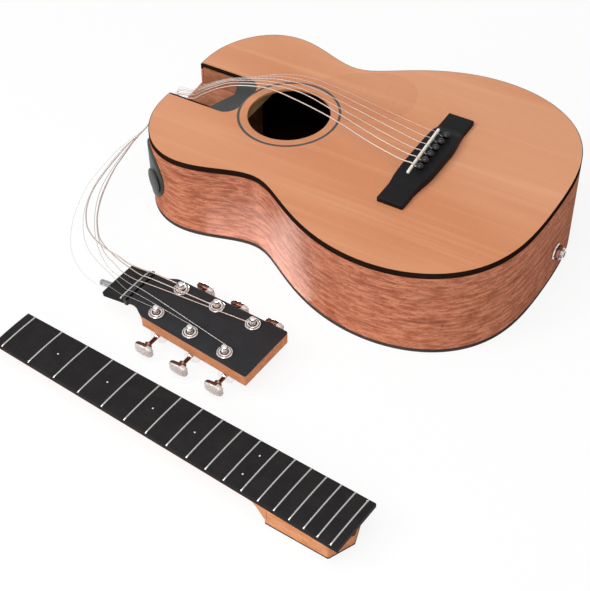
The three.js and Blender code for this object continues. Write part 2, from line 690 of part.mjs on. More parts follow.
// Teardrop that follows the rosette on the treble side and reaches toward the bridge
function buildPickguard() {
  const inner = rosetteRadius + rosetteWidth / 2 + seam;
  const at = (angle, radius) => {
    return new THREE.Vector2(radius * Math.cos(angle), holeCentreY + radius * Math.sin(angle));
  };
  const outline = new THREE.Shape();
  outline.moveTo(at(pickguardFrom, inner).x, at(pickguardFrom, inner).y);
  outline.absarc(0, holeCentreY, inner, pickguardFrom, pickguardTo, false);
  const edge = pickguardEdgeShares.map(([angle, share]) => at(angle, share * pickguardReach));
  outline.splineThru(edge.reverse());
  const high = below(-seam - pickguardThickness);
  addMesh(guitar, 'pickguard', upright(outline, below(-seam), high), 'clear');
}

// Point and outward direction on the bass rim's outer face, at an angle from the neck end
function bassFrame(angle) {
  const centre = outlinePoint(2 * Math.PI - angle, 0);
  const outward = outlinePoint(2 * Math.PI - angle, -1).sub(centre).normalize();
  return { centre, outward };
}

// Turns a piece made along +Y to point out of the rim, and moves it there
function placeOutward(geometry, frame, lift, z) {
  const place = frame.outward.clone().multiplyScalar(lift).add(frame.centre);
  geometry.rotateZ(Math.atan2(frame.outward.y, frame.outward.x) - Math.PI / 2);
  geometry.translate(place.x, place.y, z);
  return geometry;
}

function knobBore(radius) {
  const bore = new THREE.CylinderGeometry(radius, radius, knobStemLength * 4, smallSides);
  return placeOutward(bore, bassFrame(knobAngle), 0, knobCentreZ);
}

function buildPanel() {
  const mid = 2 * Math.PI - panelAngle;
  const reach = (panelRadius + overrun) / outlineRadius(mid);
  const strip = outlineStrip(mid - reach, mid + reach, -seam - panelThickness, -seam, largeSides);
  const band = upright(strip, flat(panelCentreZ - panelRadius), flat(panelCentreZ + panelRadius));
  const disc = new THREE.CylinderGeometry(panelRadius, panelRadius, panelRadius, largeSides * 2);
  const round = placeOutward(disc, bassFrame(panelAngle), 0, panelCentreZ);
  const panel = cut(overlapOf(band, round), knobBore(knobStemRadius + runningGap));
  addMesh(guitar, 'preamp_panel', panel, 'blackPlastic');

  const knob = turned([
    [0, -knobStemLength],
    [knobStemRadius, -knobStemLength],
    [knobStemRadius, 0],
    [knobRadius, 0],
    [knobRadius, knobHeight * 0.25],
    [knobRadius * 0.92, knobHeight * 0.55],
    [knobRadius * 0.7, knobHeight * 0.82],
    [knobRadius * 0.35, knobHeight * 0.97],
    [0, knobHeight],
  ], largeSides);
  const lift = panelThickness + seam + runningGap;
  placeOutward(knob, bassFrame(knobAngle), lift, knobCentreZ);
  addMesh(guitar, 'preamp_knob', knob, 'blackPlastic');
}

// The jack's line runs through the tail along the body's length
function tailY() {
  return outlinePoint(Math.PI, 0).y;
}

function tailBore(radius) {
  const bore = new THREE.CylinderGeometry(radius, radius, jackInsideLength * 2, smallSides);
  bore.translate(jackX, tailY(), jackZ);
  return bore;
}

function buildJack() {
  const flange = -seam * 2;
  const profile = [
    [0, jackInsideLength - jackBarrelRadius],
    [jackBarrelRadius - seam, jackInsideLength - jackBarrelRadius],
    [jackBarrelRadius, jackInsideLength - jackBarrelRadius * 2],
    [jackBarrelRadius, flange],
    [jackFlangeRadius, flange],
    [jackFlangeRadius, flange - jackFlangeThickness],
    [jackNutRadius, flange - jackFlangeThickness],
    [jackNutRadius, flange - jackFlangeThickness - jackNutLength],
    [jackBarrelRadius - seam, flange - jackFlangeThickness - jackNutLength],
    [jackBarrelRadius - seam, flange - jackFlangeThickness - jackNutLength - jackTipLength],
    [jackBoreRadius, flange - jackFlangeThickness - jackNutLength - jackTipLength],
    [jackBoreRadius, 0],
    [0, 0],
  ].reverse();
  const jack = turned(profile, smallSides);
  jack.translate(jackX, tailY(), jackZ);
  addMesh(guitar, 'output_jack', jack, 'chrome');
}

// Neck piece, in its own frame: +X from the zero-fret line to the heel, fretboard face at z = 0
function fretAt(number) {
  return stringScale * (1 - 2 ** (-number / 12));
}

function boardHalfWidth(x) {
  return nutHalfWidth + boardTaperShare * x;
}

function taperedBoard(from, to, thickness) {
  const near = boardHalfWidth(from);
  const far = boardHalfWidth(to);
  const shape = new THREE.Shape();
  shape.moveTo(from, -near);
  shape.lineTo(to, -far);
  shape.lineTo(to, far);
  shape.lineTo(from, near);
  return upright(shape, flat(-thickness), flat(0));
}

function buildNeck(neck) {
  const frets = Array.from({ length: fretCount }, (_, i) => {
    const x = fretAt(i + 1);
    const half = boardHalfWidth(x) - seam;
    const crown = new THREE.Shape();
    crown.moveTo(-fretWidth / 2, -fretHeight);
    crown.lineTo(fretWidth / 2, -fretHeight);
    crown.lineTo(fretWidth / 2, 0);
    crown.lineTo(fretWidth / 4, fretHeight);
    crown.lineTo(-fretWidth / 4, fretHeight);
    crown.lineTo(-fretWidth / 2, 0);
    const bar = new THREE.ExtrudeGeometry(crown, { depth: half * 2, bevelEnabled: false });
    bar.rotateX(Math.PI / 2);
    bar.translate(x, half, 0);
    return bar;
  });
  const board = taperedBoard(neckStart, fretboardEnd, fretboardThickness);
  addMesh(neck, 'fretboard', join(board, ...frets), 'ebony');

  const woodTop = -fretboardThickness - seam;
  const shaft = shaftGeometry(woodTop);
  const heelPlan = new THREE.Shape();
  heelPlan.moveTo(heelStart, -heelHalfWidth);
  heelPlan.lineTo(heelShoulder, -heelEndHalfWidth);
  heelPlan.lineTo(heelTip, 0);
  heelPlan.lineTo(heelShoulder, heelEndHalfWidth);
  heelPlan.lineTo(heelStart, heelHalfWidth);
  const capTop = heelCapThickness - heelDepth;
  const heel = upright(heelPlan, flat(capTop + seam), flat(woodTop));
  const slot = boxShape(heelTip - rodSlotLength, -rodSlotWidth / 2, heelTip + overrun, rodSlotWidth / 2);
  const rodSlot = upright(slot, flat(woodTop - rodSlotHeight), flat(overrun));
  addMesh(neck, 'neck', cut(join(shaft, heel), rodSlot), 'neckWood');
  addMesh(neck, 'heel_cap', upright(heelPlan, flat(-heelDepth), flat(capTop)), 'binding');
}

// Half-round back of the neck, swept from the nut end into the heel
function shaftGeometry(woodTop) {
  const section = [];
  for (let i = 0; i <= smallSides; i += 1) {
    const angle = Math.PI * (i / smallSides);
    const across = Math.sign(Math.cos(angle)) * Math.abs(Math.cos(angle)) ** shaftPower;
    section.push(new THREE.Vector2(Math.sin(angle) ** shaftPower, -across));
  }
  const options = { depth: 1, steps: smallSides, bevelEnabled: false };
  const geometry = new THREE.ExtrudeGeometry(new THREE.Shape(section), options);
  const position = geometry.attributes.position;
  const length = heelStart + overrun - neckStart;
  for (let i = 0; i < position.count; i += 1) {
    const share = position.getZ(i);
    const x = neckStart + length * share ** 0.8;
    const depth = shaftDepth(x) + woodTop;
    const across = position.getY(i) * (boardHalfWidth(x) - seam);
    position.setXYZ(i, x, across, woodTop - position.getX(i) * depth);
  }
  return geometry;
}

function shaftDepth(x) {
  const along = (x - neckStart) / (heelStart - neckStart);
  const plain = shaftDepthAtNut + (shaftDepthAtHeel - shaftDepthAtNut) * along;
  const blend = Math.min(1, Math.max(0, (x - heelStart + heelBlend) / heelBlend));
  const floor = heelDepth - heelCapThickness - seam;
  return plain + (floor - plain) * blend ** 2;
}

function placeNeck() {
  const tilt = Math.atan((heelDepth - shaftDepthAtNut) / (heelStart - neckStart));
  const outer = new THREE.Group();
  const lift = shaftDepthAtNut * Math.cos(tilt) - neckStart * Math.sin(tilt);
  outer.position.set(neckPlace[0], neckPlace[1], lift);
  outer.rotation.z = neckYaw;
  const inner = new THREE.Group();
  inner.rotation.y = -tilt;
  outer.add(inner);
  guitar.add(outer);
  return inner;
}

// Headstock piece, in its own frame: +X from the nut to the tip, face at z = 0
function headHalfWidthAt(x) {
  if (x <= headFlareStart) return stubHalfWidth;
  if (x >= headFlareEnd) {
    const along = (x - headFlareEnd) / (headLength - headFlareEnd);
    return headHalfWidth + (headEndHalfWidth - headHalfWidth) * along;
  }
  const share = (x - headFlareStart) / (headFlareEnd - headFlareStart);
  return stubHalfWidth + ((headHalfWidth - stubHalfWidth) * (1 - Math.cos(Math.PI * share))) / 2;
}

function headShape(from) {
  const flareStep = (headFlareEnd - headFlareStart) / curveSteps;
  const flare = Array.from({ length: curveSteps + 1 }, (_, i) => headFlareStart + flareStep * i);
  const stations = [from, ...flare, headLength];
  const near = stations.map((x) => new THREE.Vector2(x, -headHalfWidthAt(x)));
  const far = stations.map((x) => new THREE.Vector2(x, headHalfWidthAt(x))).reverse();
  return new THREE.Shape([...near, ...far]);
}

function tunerPlaces() {
  const places = [];
  [1, -1].forEach((side) => {
    for (let i = 0; i < 3; i += 1) {
      const x = firstTunerX + i * tunerSpacing;
      places.push({ x, side, y: side * (headHalfWidthAt(x) - tunerEdgeInset) });
    }
  });
  return places;
}

function buildHead(head) {
  const faceLow = -headplateThickness;
  const woodLow = faceLow - seam - headThickness;
  const bores = tunerPlaces().map(({ x, y }) => {
    return uprightCylinder(x, y, bushingRadius + seam, woodLow - overrun, overrun, smallSides);
  });
  const nutLean = headplateThickness * Math.tan(headAngle);
  const nutBack = nutLength / 2 / Math.cos(headAngle) + nutLean + seam;
  const plate = upright(headShape(nutBack), flat(faceLow), flat(0));
  addMesh(head, 'headplate', cut(plate, ...bores), 'blackPlastic');

  const wood = upright(headShape(nutBack), flat(woodLow), flat(faceLow - seam));
  const stubHigh = -stubBoardThickness - seam;
  const stubHalf = stubHalfWidth - stubInset;
  const stub = leanedBox(-stubLength, headFlareStart, -stubDepth, stubHigh, stubHalf);
  const socket = leanedRod(rodRadius + seam, -stubLength - overrun, rodSocket - stubLength);
  const nutLow = nutRise - nutHeight;
  const seatHalf = nutLength / 2 + seam;
  const seatSide = stubHalfWidth + overrun;
  const nutSeat = leanedBox(-seatHalf, seatHalf, nutLow - seam, overrun, seatSide);
  const headstock = cut(join(wood, stub), nutSeat, socket, ...bores);
  addMesh(head, 'headstock', headstock, 'neckWood');

  const board = leanedBox(-stubLength, -seatHalf, -stubBoardThickness, 0, stubHalfWidth);
  const slotHalf = fretWidth / 2;
  const slotLow = -fretHeight - seam;
  const slotEnds = [-zeroFretOffset - slotHalf, -zeroFretOffset + slotHalf];
  const slot = leanedBox(...slotEnds, slotLow, overrun, seatSide);
  addMesh(head, 'stub_fretboard', cut(board, slot), 'ebony');

  const crownHalf = slotHalf - seam;
  const crownEnds = [-zeroFretOffset - crownHalf, -zeroFretOffset + crownHalf];
  const crown = leanedBox(...crownEnds, -fretHeight, zeroFretRise, stubHalfWidth - seam);
  addMesh(head, 'zero_fret', crown, 'steel');

  const nut = leanedBox(-nutLength / 2, nutLength / 2, nutLow, nutRise, stubHalfWidth);
  addMesh(head, 'nut', nut, 'blackPlastic');
  const rod = leanedRod(rodRadius, -stubLength - rodReach, rodSocket - stubLength - seam);
  addMesh(head, 'dowel_rod', rod, 'steel');
}

// Box along the stub, which leans down from the nut by the headstock angle
function leanedBox(fromX, toX, lowZ, highZ, halfWidth) {
  const box = new THREE.BoxGeometry(toX - fromX, halfWidth * 2, highZ - lowZ);
  box.translate((fromX + toX) / 2, 0, (lowZ + highZ) / 2);
  box.rotateY(-headAngle);
  return box;
}

function leanedRod(radius, fromX, toX) {
  const rod = new THREE.CylinderGeometry(radius, radius, toX - fromX, smallSides);
  rod.rotateZ(Math.PI / 2);
  rod.translate((fromX + toX) / 2, 0, -(stubDepth + stubBoardThickness) / 2);
  rod.rotateY(-headAngle);
  return rod;
}

function buildTuner(head, place, number) {
  const { x, y, side } = place;
  const woodLow = -headplateThickness - seam - headThickness;
  const caseTop = woodLow - seam;
  const caseLow = caseTop - housingHeight;
  const shaftZ = caseLow + shaftHeight;
  const shaftX = x + shaftOffset;
  const caseX = x + shaftOffset / 2;
  const halfLength = housingLength / 2;
  const halfWidth = housingWidth / 2;
  const casePlan = boxShape(caseX - halfLength, y - halfWidth, caseX + halfLength, y + halfWidth);
  const caseSolid = upright(casePlan, flat(caseLow), flat(caseTop));
  const washerTop = seam + washerThickness;
  const nutTop = washerTop + bushingNutHeight;
  const bushing = uprightCylinder(x, y, bushingRadius, caseTop - seam, washerTop, smallSides);
  const washer = uprightCylinder(x, y, washerRadius, seam, washerTop, smallSides);
  const nut = uprightCylinder(x, y, bushingNutRadius, seam, nutTop, 6);
  const boreLow = caseLow - overrun;
  const bore = uprightCylinder(x, y, postRadius + runningGap, boreLow, postHeight, smallSides);
  const wheelTop = shaftZ + wormWheelHeight / 2;
  const wheelRoom = wormWheelRadius + runningGap;
  const wheelBore = uprightCylinder(x, y, wheelRoom, boreLow, wheelTop + runningGap, smallSides);
  const innerEnd = y - side * housingWidth / 4;
  const shaftRoom = shaftRadius + runningGap;
  const boreEnds = [innerEnd - side * runningGap, y + side * housingWidth];
  const shaftBore = crossRod(shaftX, shaftZ, shaftRoom, ...boreEnds);
  const housing = cut(join(caseSolid, bushing, washer, nut), bore, wheelBore, shaftBore);
  addMesh(head, `tuner_housing_${number}`, housing, 'chrome');

  const post = uprightCylinder(x, y, postRadius, caseLow + seam, postHeight, smallSides);
  const wheel = uprightCylinder(x, y, wormWheelRadius, caseLow + seam, wheelTop, smallSides);
  const holeZ = postHeight - postHoleBelowTop;
  const stringHole = crossRod(x, holeZ, postHoleRadius, y - postRadius * 2, y + postRadius * 2);
  addMesh(head, `tuner_post_${number}`, cut(join(post, wheel), stringHole), 'chrome');

  const collarEnd = side * (knobReach - keyThickness / 2 - keyCollarLength);
  const shaft = crossRod(shaftX, shaftZ, shaftRadius, innerEnd, side * knobReach);
  const collar = crossRod(shaftX, shaftZ, keyCollarRadius, collarEnd, side * knobReach);
  const key = new THREE.SphereGeometry(1, smallSides, curveSteps);
  key.scale(keyLength / 2, keyThickness / 2, keyHeight / 2);
  key.translate(shaftX, side * knobReach, shaftZ);
  addMesh(head, `tuner_knob_${number}`, join(shaft, collar, key), 'chrome');
}

// Rod across the headstock between two y values
function crossRod(x, z, radius, fromY, toY) {
  const rod = new THREE.CylinderGeometry(radius, radius, Math.abs(toY - fromY), smallSides);
  rod.translate(x, (fromY + toY) / 2, z);
  return rod;
}

const faceHeight = housingHeight + headThickness + headplateThickness + seam * 2;

function placeHead() {
  const group = new THREE.Group();
  group.position.set(headPlace[0], headPlace[1], faceHeight);
  group.rotation.z = headYaw;
  guitar.add(group);
  return group;
}

// Curve with the same number of rings in each span between two chosen points
class SpanCurve extends THREE.CatmullRomCurve3 {
  getUtoTmapping(share) {
    return share;
  }
}

function buildStrings() {
  stringRoutes.forEach((route, i) => {
    const points = route.map(([x, y, z]) => new THREE.Vector3(x, y, z));
    const section = circleShape(0, 0, stringDiameters[i] / 2, stringSides);
    const steps = (points.length - 1) * ringsPerSpan;
    const options = { steps, extrudePath: new SpanCurve(points), bevelEnabled: false };
    const string = new THREE.ExtrudeGeometry(section, options);
    addMesh(guitar, `string_${stringNames[i]}`, string, stringFinishes[i]);
  });
}

buildShell();
buildInside();
buildBridge();
buildPickguard();
buildPanel();
buildJack();
buildNeck(placeNeck());
const head = placeHead();
buildHead(head);
tunerPlaces().forEach((place, i) => buildTuner(head, place, i + 1));
buildStrings();

export default guitar;
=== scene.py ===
"""Looks of a take-apart travel guitar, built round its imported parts.

Sizes are millimetres in the part's own frame: +Z up, +Y toward the neck end, +X toward
the treble side. Points become metres when a piece is made.
"""

import json
import logging
from collections.abc import Callable, Sequence
from dataclasses import dataclass, field
from enum import Enum

import bmesh
import bpy
import numpy as np
from mathutils import Matrix

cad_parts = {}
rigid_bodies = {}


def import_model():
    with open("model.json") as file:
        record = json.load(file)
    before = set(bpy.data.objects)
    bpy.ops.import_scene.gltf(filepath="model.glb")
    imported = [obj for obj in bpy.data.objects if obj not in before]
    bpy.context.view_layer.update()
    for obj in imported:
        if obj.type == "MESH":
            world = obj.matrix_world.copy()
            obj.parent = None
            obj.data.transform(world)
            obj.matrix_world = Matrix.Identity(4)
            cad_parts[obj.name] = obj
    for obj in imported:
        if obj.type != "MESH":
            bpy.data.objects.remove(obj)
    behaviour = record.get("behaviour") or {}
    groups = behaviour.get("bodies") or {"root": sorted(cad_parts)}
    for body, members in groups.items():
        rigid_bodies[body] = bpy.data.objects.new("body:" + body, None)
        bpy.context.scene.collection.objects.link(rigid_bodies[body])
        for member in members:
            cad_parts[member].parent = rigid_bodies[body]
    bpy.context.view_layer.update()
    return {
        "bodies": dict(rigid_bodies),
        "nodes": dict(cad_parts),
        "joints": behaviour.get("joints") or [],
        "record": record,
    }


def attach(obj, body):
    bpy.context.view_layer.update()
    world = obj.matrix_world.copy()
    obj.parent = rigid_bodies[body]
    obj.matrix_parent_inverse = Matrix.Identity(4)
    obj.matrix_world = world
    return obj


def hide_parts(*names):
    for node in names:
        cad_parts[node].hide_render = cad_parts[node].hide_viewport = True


log = logging.getLogger("travel_guitar")

MM = 0.001  # in metres
JOINT = 0.05  # gap between two boards, in millimetres as all sizes below
NEST = 0.02  # gap under a piece that lies on another
Array = np.ndarray
Ground = Callable[[Array], Array]
Pair = tuple[float, float]
Triple = tuple[float, float, float]
Material = bpy.types.Material
Object = bpy.types.Object


class Body(Enum):
    """The root body and the side panel's knob; the tuners' bodies are named by number."""

    GUITAR = "guitar"
    PREAMP_KNOB = "preamp_knob"


class Slot(Enum):
    """Material slots of the record."""

    CEDAR = "cedar_top"
    MAHOGANY = "mahogany_gloss"
    NECK_WOOD = "neck_wood"
    EBONY = "ebony"
    BINDING = "dark_binding"
    BONE = "bone"
    PLASTIC = "black_plastic"
    GUARD = "clear_guard"
    CHROME = "chrome"
    FRETS = "fret_steel"
    PLAIN = "plain_string"
    WOUND = "wound_string"


def metres(value: float | Sequence) -> Array:
    """Millimetres as metres, to the seventh decimal."""
    return np.round(np.array(value) * MM, 7)


def put(name: str, data: bpy.types.ID) -> Object:
    """Adds an object with its data to the scene.

    Args:
        name: Name of the object.
        data: Its mesh, light or camera.

    Returns:
        The object.
    """
    thing = bpy.data.objects.new(name, data)
    bpy.context.scene.collection.objects.link(thing)
    return thing


def posed(axes: Sequence[Array] | Array, at: Sequence[float]) -> Matrix:
    """Matrix with three axes as columns and a place given in millimetres.

    Args:
        axes: The x, y and z axis.
        at: The place.

    Returns:
        The matrix.
    """
    matrix = np.eye(4)
    matrix[:3, :3] = np.transpose(axes)
    matrix[:3, 3] = np.array(at) * MM
    return Matrix(matrix.tolist())


# Shapes


def eased(share: Array) -> Array:
    """Smooth step 3t^2 - 2t^3 of a share held between 0 and 1."""
    t = np.clip(share, 0.0, 1.0)
    return t * t * (3.0 - 2.0 * t)


def circle(radius: float, count: int) -> Array:
    """Plan circle, anticlockwise, as (count, 2) points."""
    angle = np.linspace(0.0, 2.0 * np.pi, count, endpoint=False)
    return radius * np.stack([np.cos(angle), np.sin(angle)], -1)


def rounded_box(width: float, depth: float, radius: float, steps: int = 6) -> Array:
    """Plan rectangle with quarter-circle corners, anticlockwise.

    Args:
        width: Whole size along x.
        depth: Whole size along y.
        radius: Corner radius.
        steps: Points on each corner.

    Returns:
        Points of the loop, shape (4 * steps, 2).
    """
    angle = np.linspace(0.0, np.pi / 2.0, steps)
    quarter = np.arange(4)[:, None] * np.pi / 2.0 + angle[None, :]
    signs = np.array([[1, 1], [-1, 1], [-1, -1], [1, -1]])[:, None, :]
    centre = signs * np.array([width / 2.0 - radius, depth / 2.0 - radius])
    arc = radius * np.stack([np.cos(quarter), np.sin(quarter)], -1)
    return (centre + arc).reshape(-1, 2)


def inset_loop(loop: Array, inset: float) -> Array:
    """Moves an anticlockwise plan loop inward by mitred corners.

    A corner between edges with inward normals m and n moves by (m + n) / (1 + m.n) times
    the inset.

    Args:
        loop: Anticlockwise plan loop.
        inset: Distance inward.

    Returns:
        The inner loop.
    """
    edge = np.roll(loop, -1, 0) - loop
    edge /= np.maximum(np.linalg.norm(edge, axis=1, keepdims=True), 1e-9)
    after = np.stack([-edge[:, 1], edge[:, 0]], -1)
    before = np.roll(after, 1, 0)
    share = np.maximum(1.0 + (after * before).sum(1, keepdims=True), 0.3)
    return loop + (after + before) / share * inset


def plate(
    loop: Array,
    low: float,
    high: float,
    round_low: float = 0.0,
    round_high: float = 0.3,
    ground: Ground | None = None,
    steps: int = 4,
) -> Array:
    """Stack of plan loops whose two edges follow quarter circles.

    At an edge of radius r the loop is inset by r (1 - cos a) and the height is r sin a
    short of the face, for a from 0 to a right angle.

    Args:
        loop: Anticlockwise plan loop.
        low: Height of the lower face.
        high: Height of the upper face.
        round_low: Edge radius at the lower face.
        round_high: Edge radius at the upper face.
        ground: Height to add, as a function of y.
        steps: Rings on each rounded edge.

    Returns:
        Rings of shape (rings, points, 3).
    """
    angle = np.linspace(0.0, np.pi / 2.0, steps)
    down = [(round_low * (1 - np.cos(a)), low + round_low * (1 - np.sin(a))) for a in angle[::-1]]
    up = [(round_high * (1 - np.cos(a)), high - round_high * (1 - np.sin(a))) for a in angle]
    rings = []
    for inset, height in (down if round_low else [(0.0, low)]) + (up if round_high else [(0.0, high)]):
        flat = inset_loop(loop, inset)
        lift = ground(flat[:, 1]) if ground else 0.0
        rings.append(np.column_stack([flat, np.full(len(flat), height) + lift]))
    return np.array(rings)


def lathe(profile: Sequence[Pair], sides: int = 40) -> Array:
    """Rings (r cos a, r sin a, h) of a profile of (radius, height) pairs about +z.

    Args:
        profile: Pairs from one end to the other.
        sides: Points on each ring.

    Returns:
        Rings of shape (pairs, sides, 3).
    """
    pairs = np.array(profile, float)
    angle = np.linspace(0.0, 2.0 * np.pi, sides, endpoint=False)
    flat = np.stack([np.cos(angle), np.sin(angle)], -1)
    plan = pairs[:, 0][:, None, None] * flat[None]
    return np.concatenate([plan, np.broadcast_to(pairs[:, 1][:, None, None], (*plan.shape[:2], 1))], -1)


def tube(path: Array, radius: float | Array, sides: int = 10) -> Array:
    """Rings of a round tube along a path, turned as little as possible from ring to ring.

    Ring i is path_i + r (u cos a + v sin a); each u is the last one with its part along
    the new tangent taken out.

    Args:
        path: Points of the centre line, shape (n, 3).
        radius: Radius, one for all or one for each point.
        sides: Points on each ring.

    Returns:
        Rings of shape (n, sides, 3).
    """
    tangent = np.gradient(path, axis=0)
    tangent /= np.linalg.norm(tangent, axis=1, keepdims=True)
    across = np.cross(tangent[0], [0.31, 0.17, 0.93])
    frames = []
    for t in tangent:
        across = across - t * (across @ t)
        across = across / np.linalg.norm(across)
        frames.append(across)
    u = np.array(frames)
    v = np.cross(tangent, u)
    angle = np.linspace(0.0, 2.0 * np.pi, sides, endpoint=False)
    reach = np.broadcast_to(np.asarray(radius, float), (len(path),))[:, None, None]
    round_trip = u[:, None] * np.cos(angle)[None, :, None] + v[:, None] * np.sin(angle)[None, :, None]
    return path[:, None] + reach * round_trip


def end_stations(start: float, stop: float, radius: float, count: int, steps: int = 4) -> tuple[Array, Array]:
    """Stations along a bar and how far its section shrinks at each, for rounded ends.

    Near an end the station is r (1 - sin a) from it and the section shrinks by
    r (1 - cos a).

    Args:
        start: Near end.
        stop: Far end.
        radius: Rounding of the ends.
        count: Stations between the rounded ends.
        steps: Stations on each rounded end.

    Returns:
        Stations and what the section shrinks by at each.
    """
    angle = np.linspace(np.pi / 2.0, 0.0, steps)
    near = radius * (1.0 - np.cos(np.pi / 2.0 - angle))
    shrink = radius * (1.0 - np.sin(np.pi / 2.0 - angle))
    middle = np.linspace(start + radius, stop - radius, count)[1:-1]
    x = np.concatenate([start + near, middle, (stop - near)[::-1]])
    return x, np.concatenate([shrink, np.zeros(len(middle)), shrink[::-1]])


def bar(
    x: Array,
    y_low: Array,
    y_high: Array,
    z_low: Array | float,
    z_high: Array | float,
    edge: float,
    crown: float = 0.0,
    steps: int = 4,
    across: int = 9,
) -> Array:
    """Sections along x of a bar with rounded upper edges and a crowned top.

    The top at y is z_high - crown ((y - middle) / half)^2, and its edges are quarter
    circles of radius edge.

    Args:
        x: Stations.
        y_low: Lower side at each.
        y_high: Higher side at each.
        z_low: Underside.
        z_high: Top before the crown.
        edge: Radius of the upper edges.
        crown: Drop of the top from its middle to its sides.
        steps: Points on each rounded edge.
        across: Points between them.

    Returns:
        Rings of shape (stations, points, 3).
    """
    y0, y1 = np.broadcast_arrays(np.asarray(y_low, float), np.asarray(y_high, float))
    y0, y1 = np.broadcast_to(y0, x.shape)[:, None], np.broadcast_to(y1, x.shape)[:, None]
    low = np.broadcast_to(np.asarray(z_low, float), x.shape)[:, None]
    high = np.broadcast_to(np.asarray(z_high, float), x.shape)[:, None]
    angle = np.linspace(0.0, np.pi / 2.0, steps)[None]
    rise_y, rise_z = y0 + edge * (1 - np.cos(angle)), high - edge * (1 - np.sin(angle))
    share = np.linspace(0.0, 1.0, across + 2)[None, 1:-1]
    top_y = y0 + edge + (y1 - y0 - 2 * edge) * share
    top_z = np.broadcast_to(high, top_y.shape)
    fall_y, fall_z = (y1 - edge * (1 - np.cos(angle)))[:, ::-1], rise_z[:, ::-1]
    y = np.concatenate([y0, rise_y, top_y, fall_y, y1], 1)
    half = np.maximum((y1 - y0) / 2.0, 1e-6)
    middle = (y0 + y1) / 2.0
    z = np.concatenate([low, rise_z, top_z, fall_z, low], 1)
    z[:, 1:-1] -= crown * ((y[:, 1:-1] - middle) / half) ** 2
    return np.stack([np.broadcast_to(x[:, None], y.shape), y, z], -1)


def shaft_section(power: Array, points: int) -> tuple[Array, Array]:
    """Half-round section, sgn(cos a) |cos a|^p across and |sin a|^p down.

    Args:
        power: The p of each section.
        points: Points on each.

    Returns:
        The two coordinates, each of shape (sections, points).
    """
    angle = np.linspace(0.0, np.pi, points)[None]
    cos, sin = np.cos(angle), np.sin(angle)
    return np.sign(cos) * np.abs(cos) ** power[:, None], np.abs(sin) ** power[:, None]


def aimed(rings: Array, origin: Sequence[float], direction: Sequence[float]) -> Array:
    """Turns rings made about +z to point along a direction, and moves them to an origin.

    Args:
        rings: Points made about +z.
        origin: Where their origin goes.
        direction: Where +z goes.

    Returns:
        The turned points.
    """
    w = np.array(direction, float) / np.linalg.norm(direction)
    u = np.cross([0.0, 0.0, 1.0], w)
    u = np.array([1.0, 0.0, 0.0]) if np.linalg.norm(u) < 1e-6 else u / np.linalg.norm(u)
    v = np.cross(w, u)
    return np.array(origin, float) + rings @ np.array([u, v, w])


@dataclass(frozen=True)
class Place:
    """A frame leaned up about its y axis, then turned about z, then moved."""

    origin: Triple = (0.0, 0.0, 0.0)
    yaw: float = 0.0
    lean: float = 0.0

    def carry(self, points: Array) -> Array:
        """World points: lean in the x-z plane, turn in the x-y plane, then move.

        Args:
            points: Points in this frame.

        Returns:
            Points in the part's frame.
        """
        lean, yaw = np.radians(self.lean), np.radians(self.yaw)
        x = points[..., 0] * np.cos(lean) - points[..., 2] * np.sin(lean)
        z = points[..., 0] * np.sin(lean) + points[..., 2] * np.cos(lean)
        y = points[..., 1]
        turned = np.stack([x * np.cos(yaw) - y * np.sin(yaw), x * np.sin(yaw) + y * np.cos(yaw), z], -1)
        return turned + np.array(self.origin)


HERE = Place()


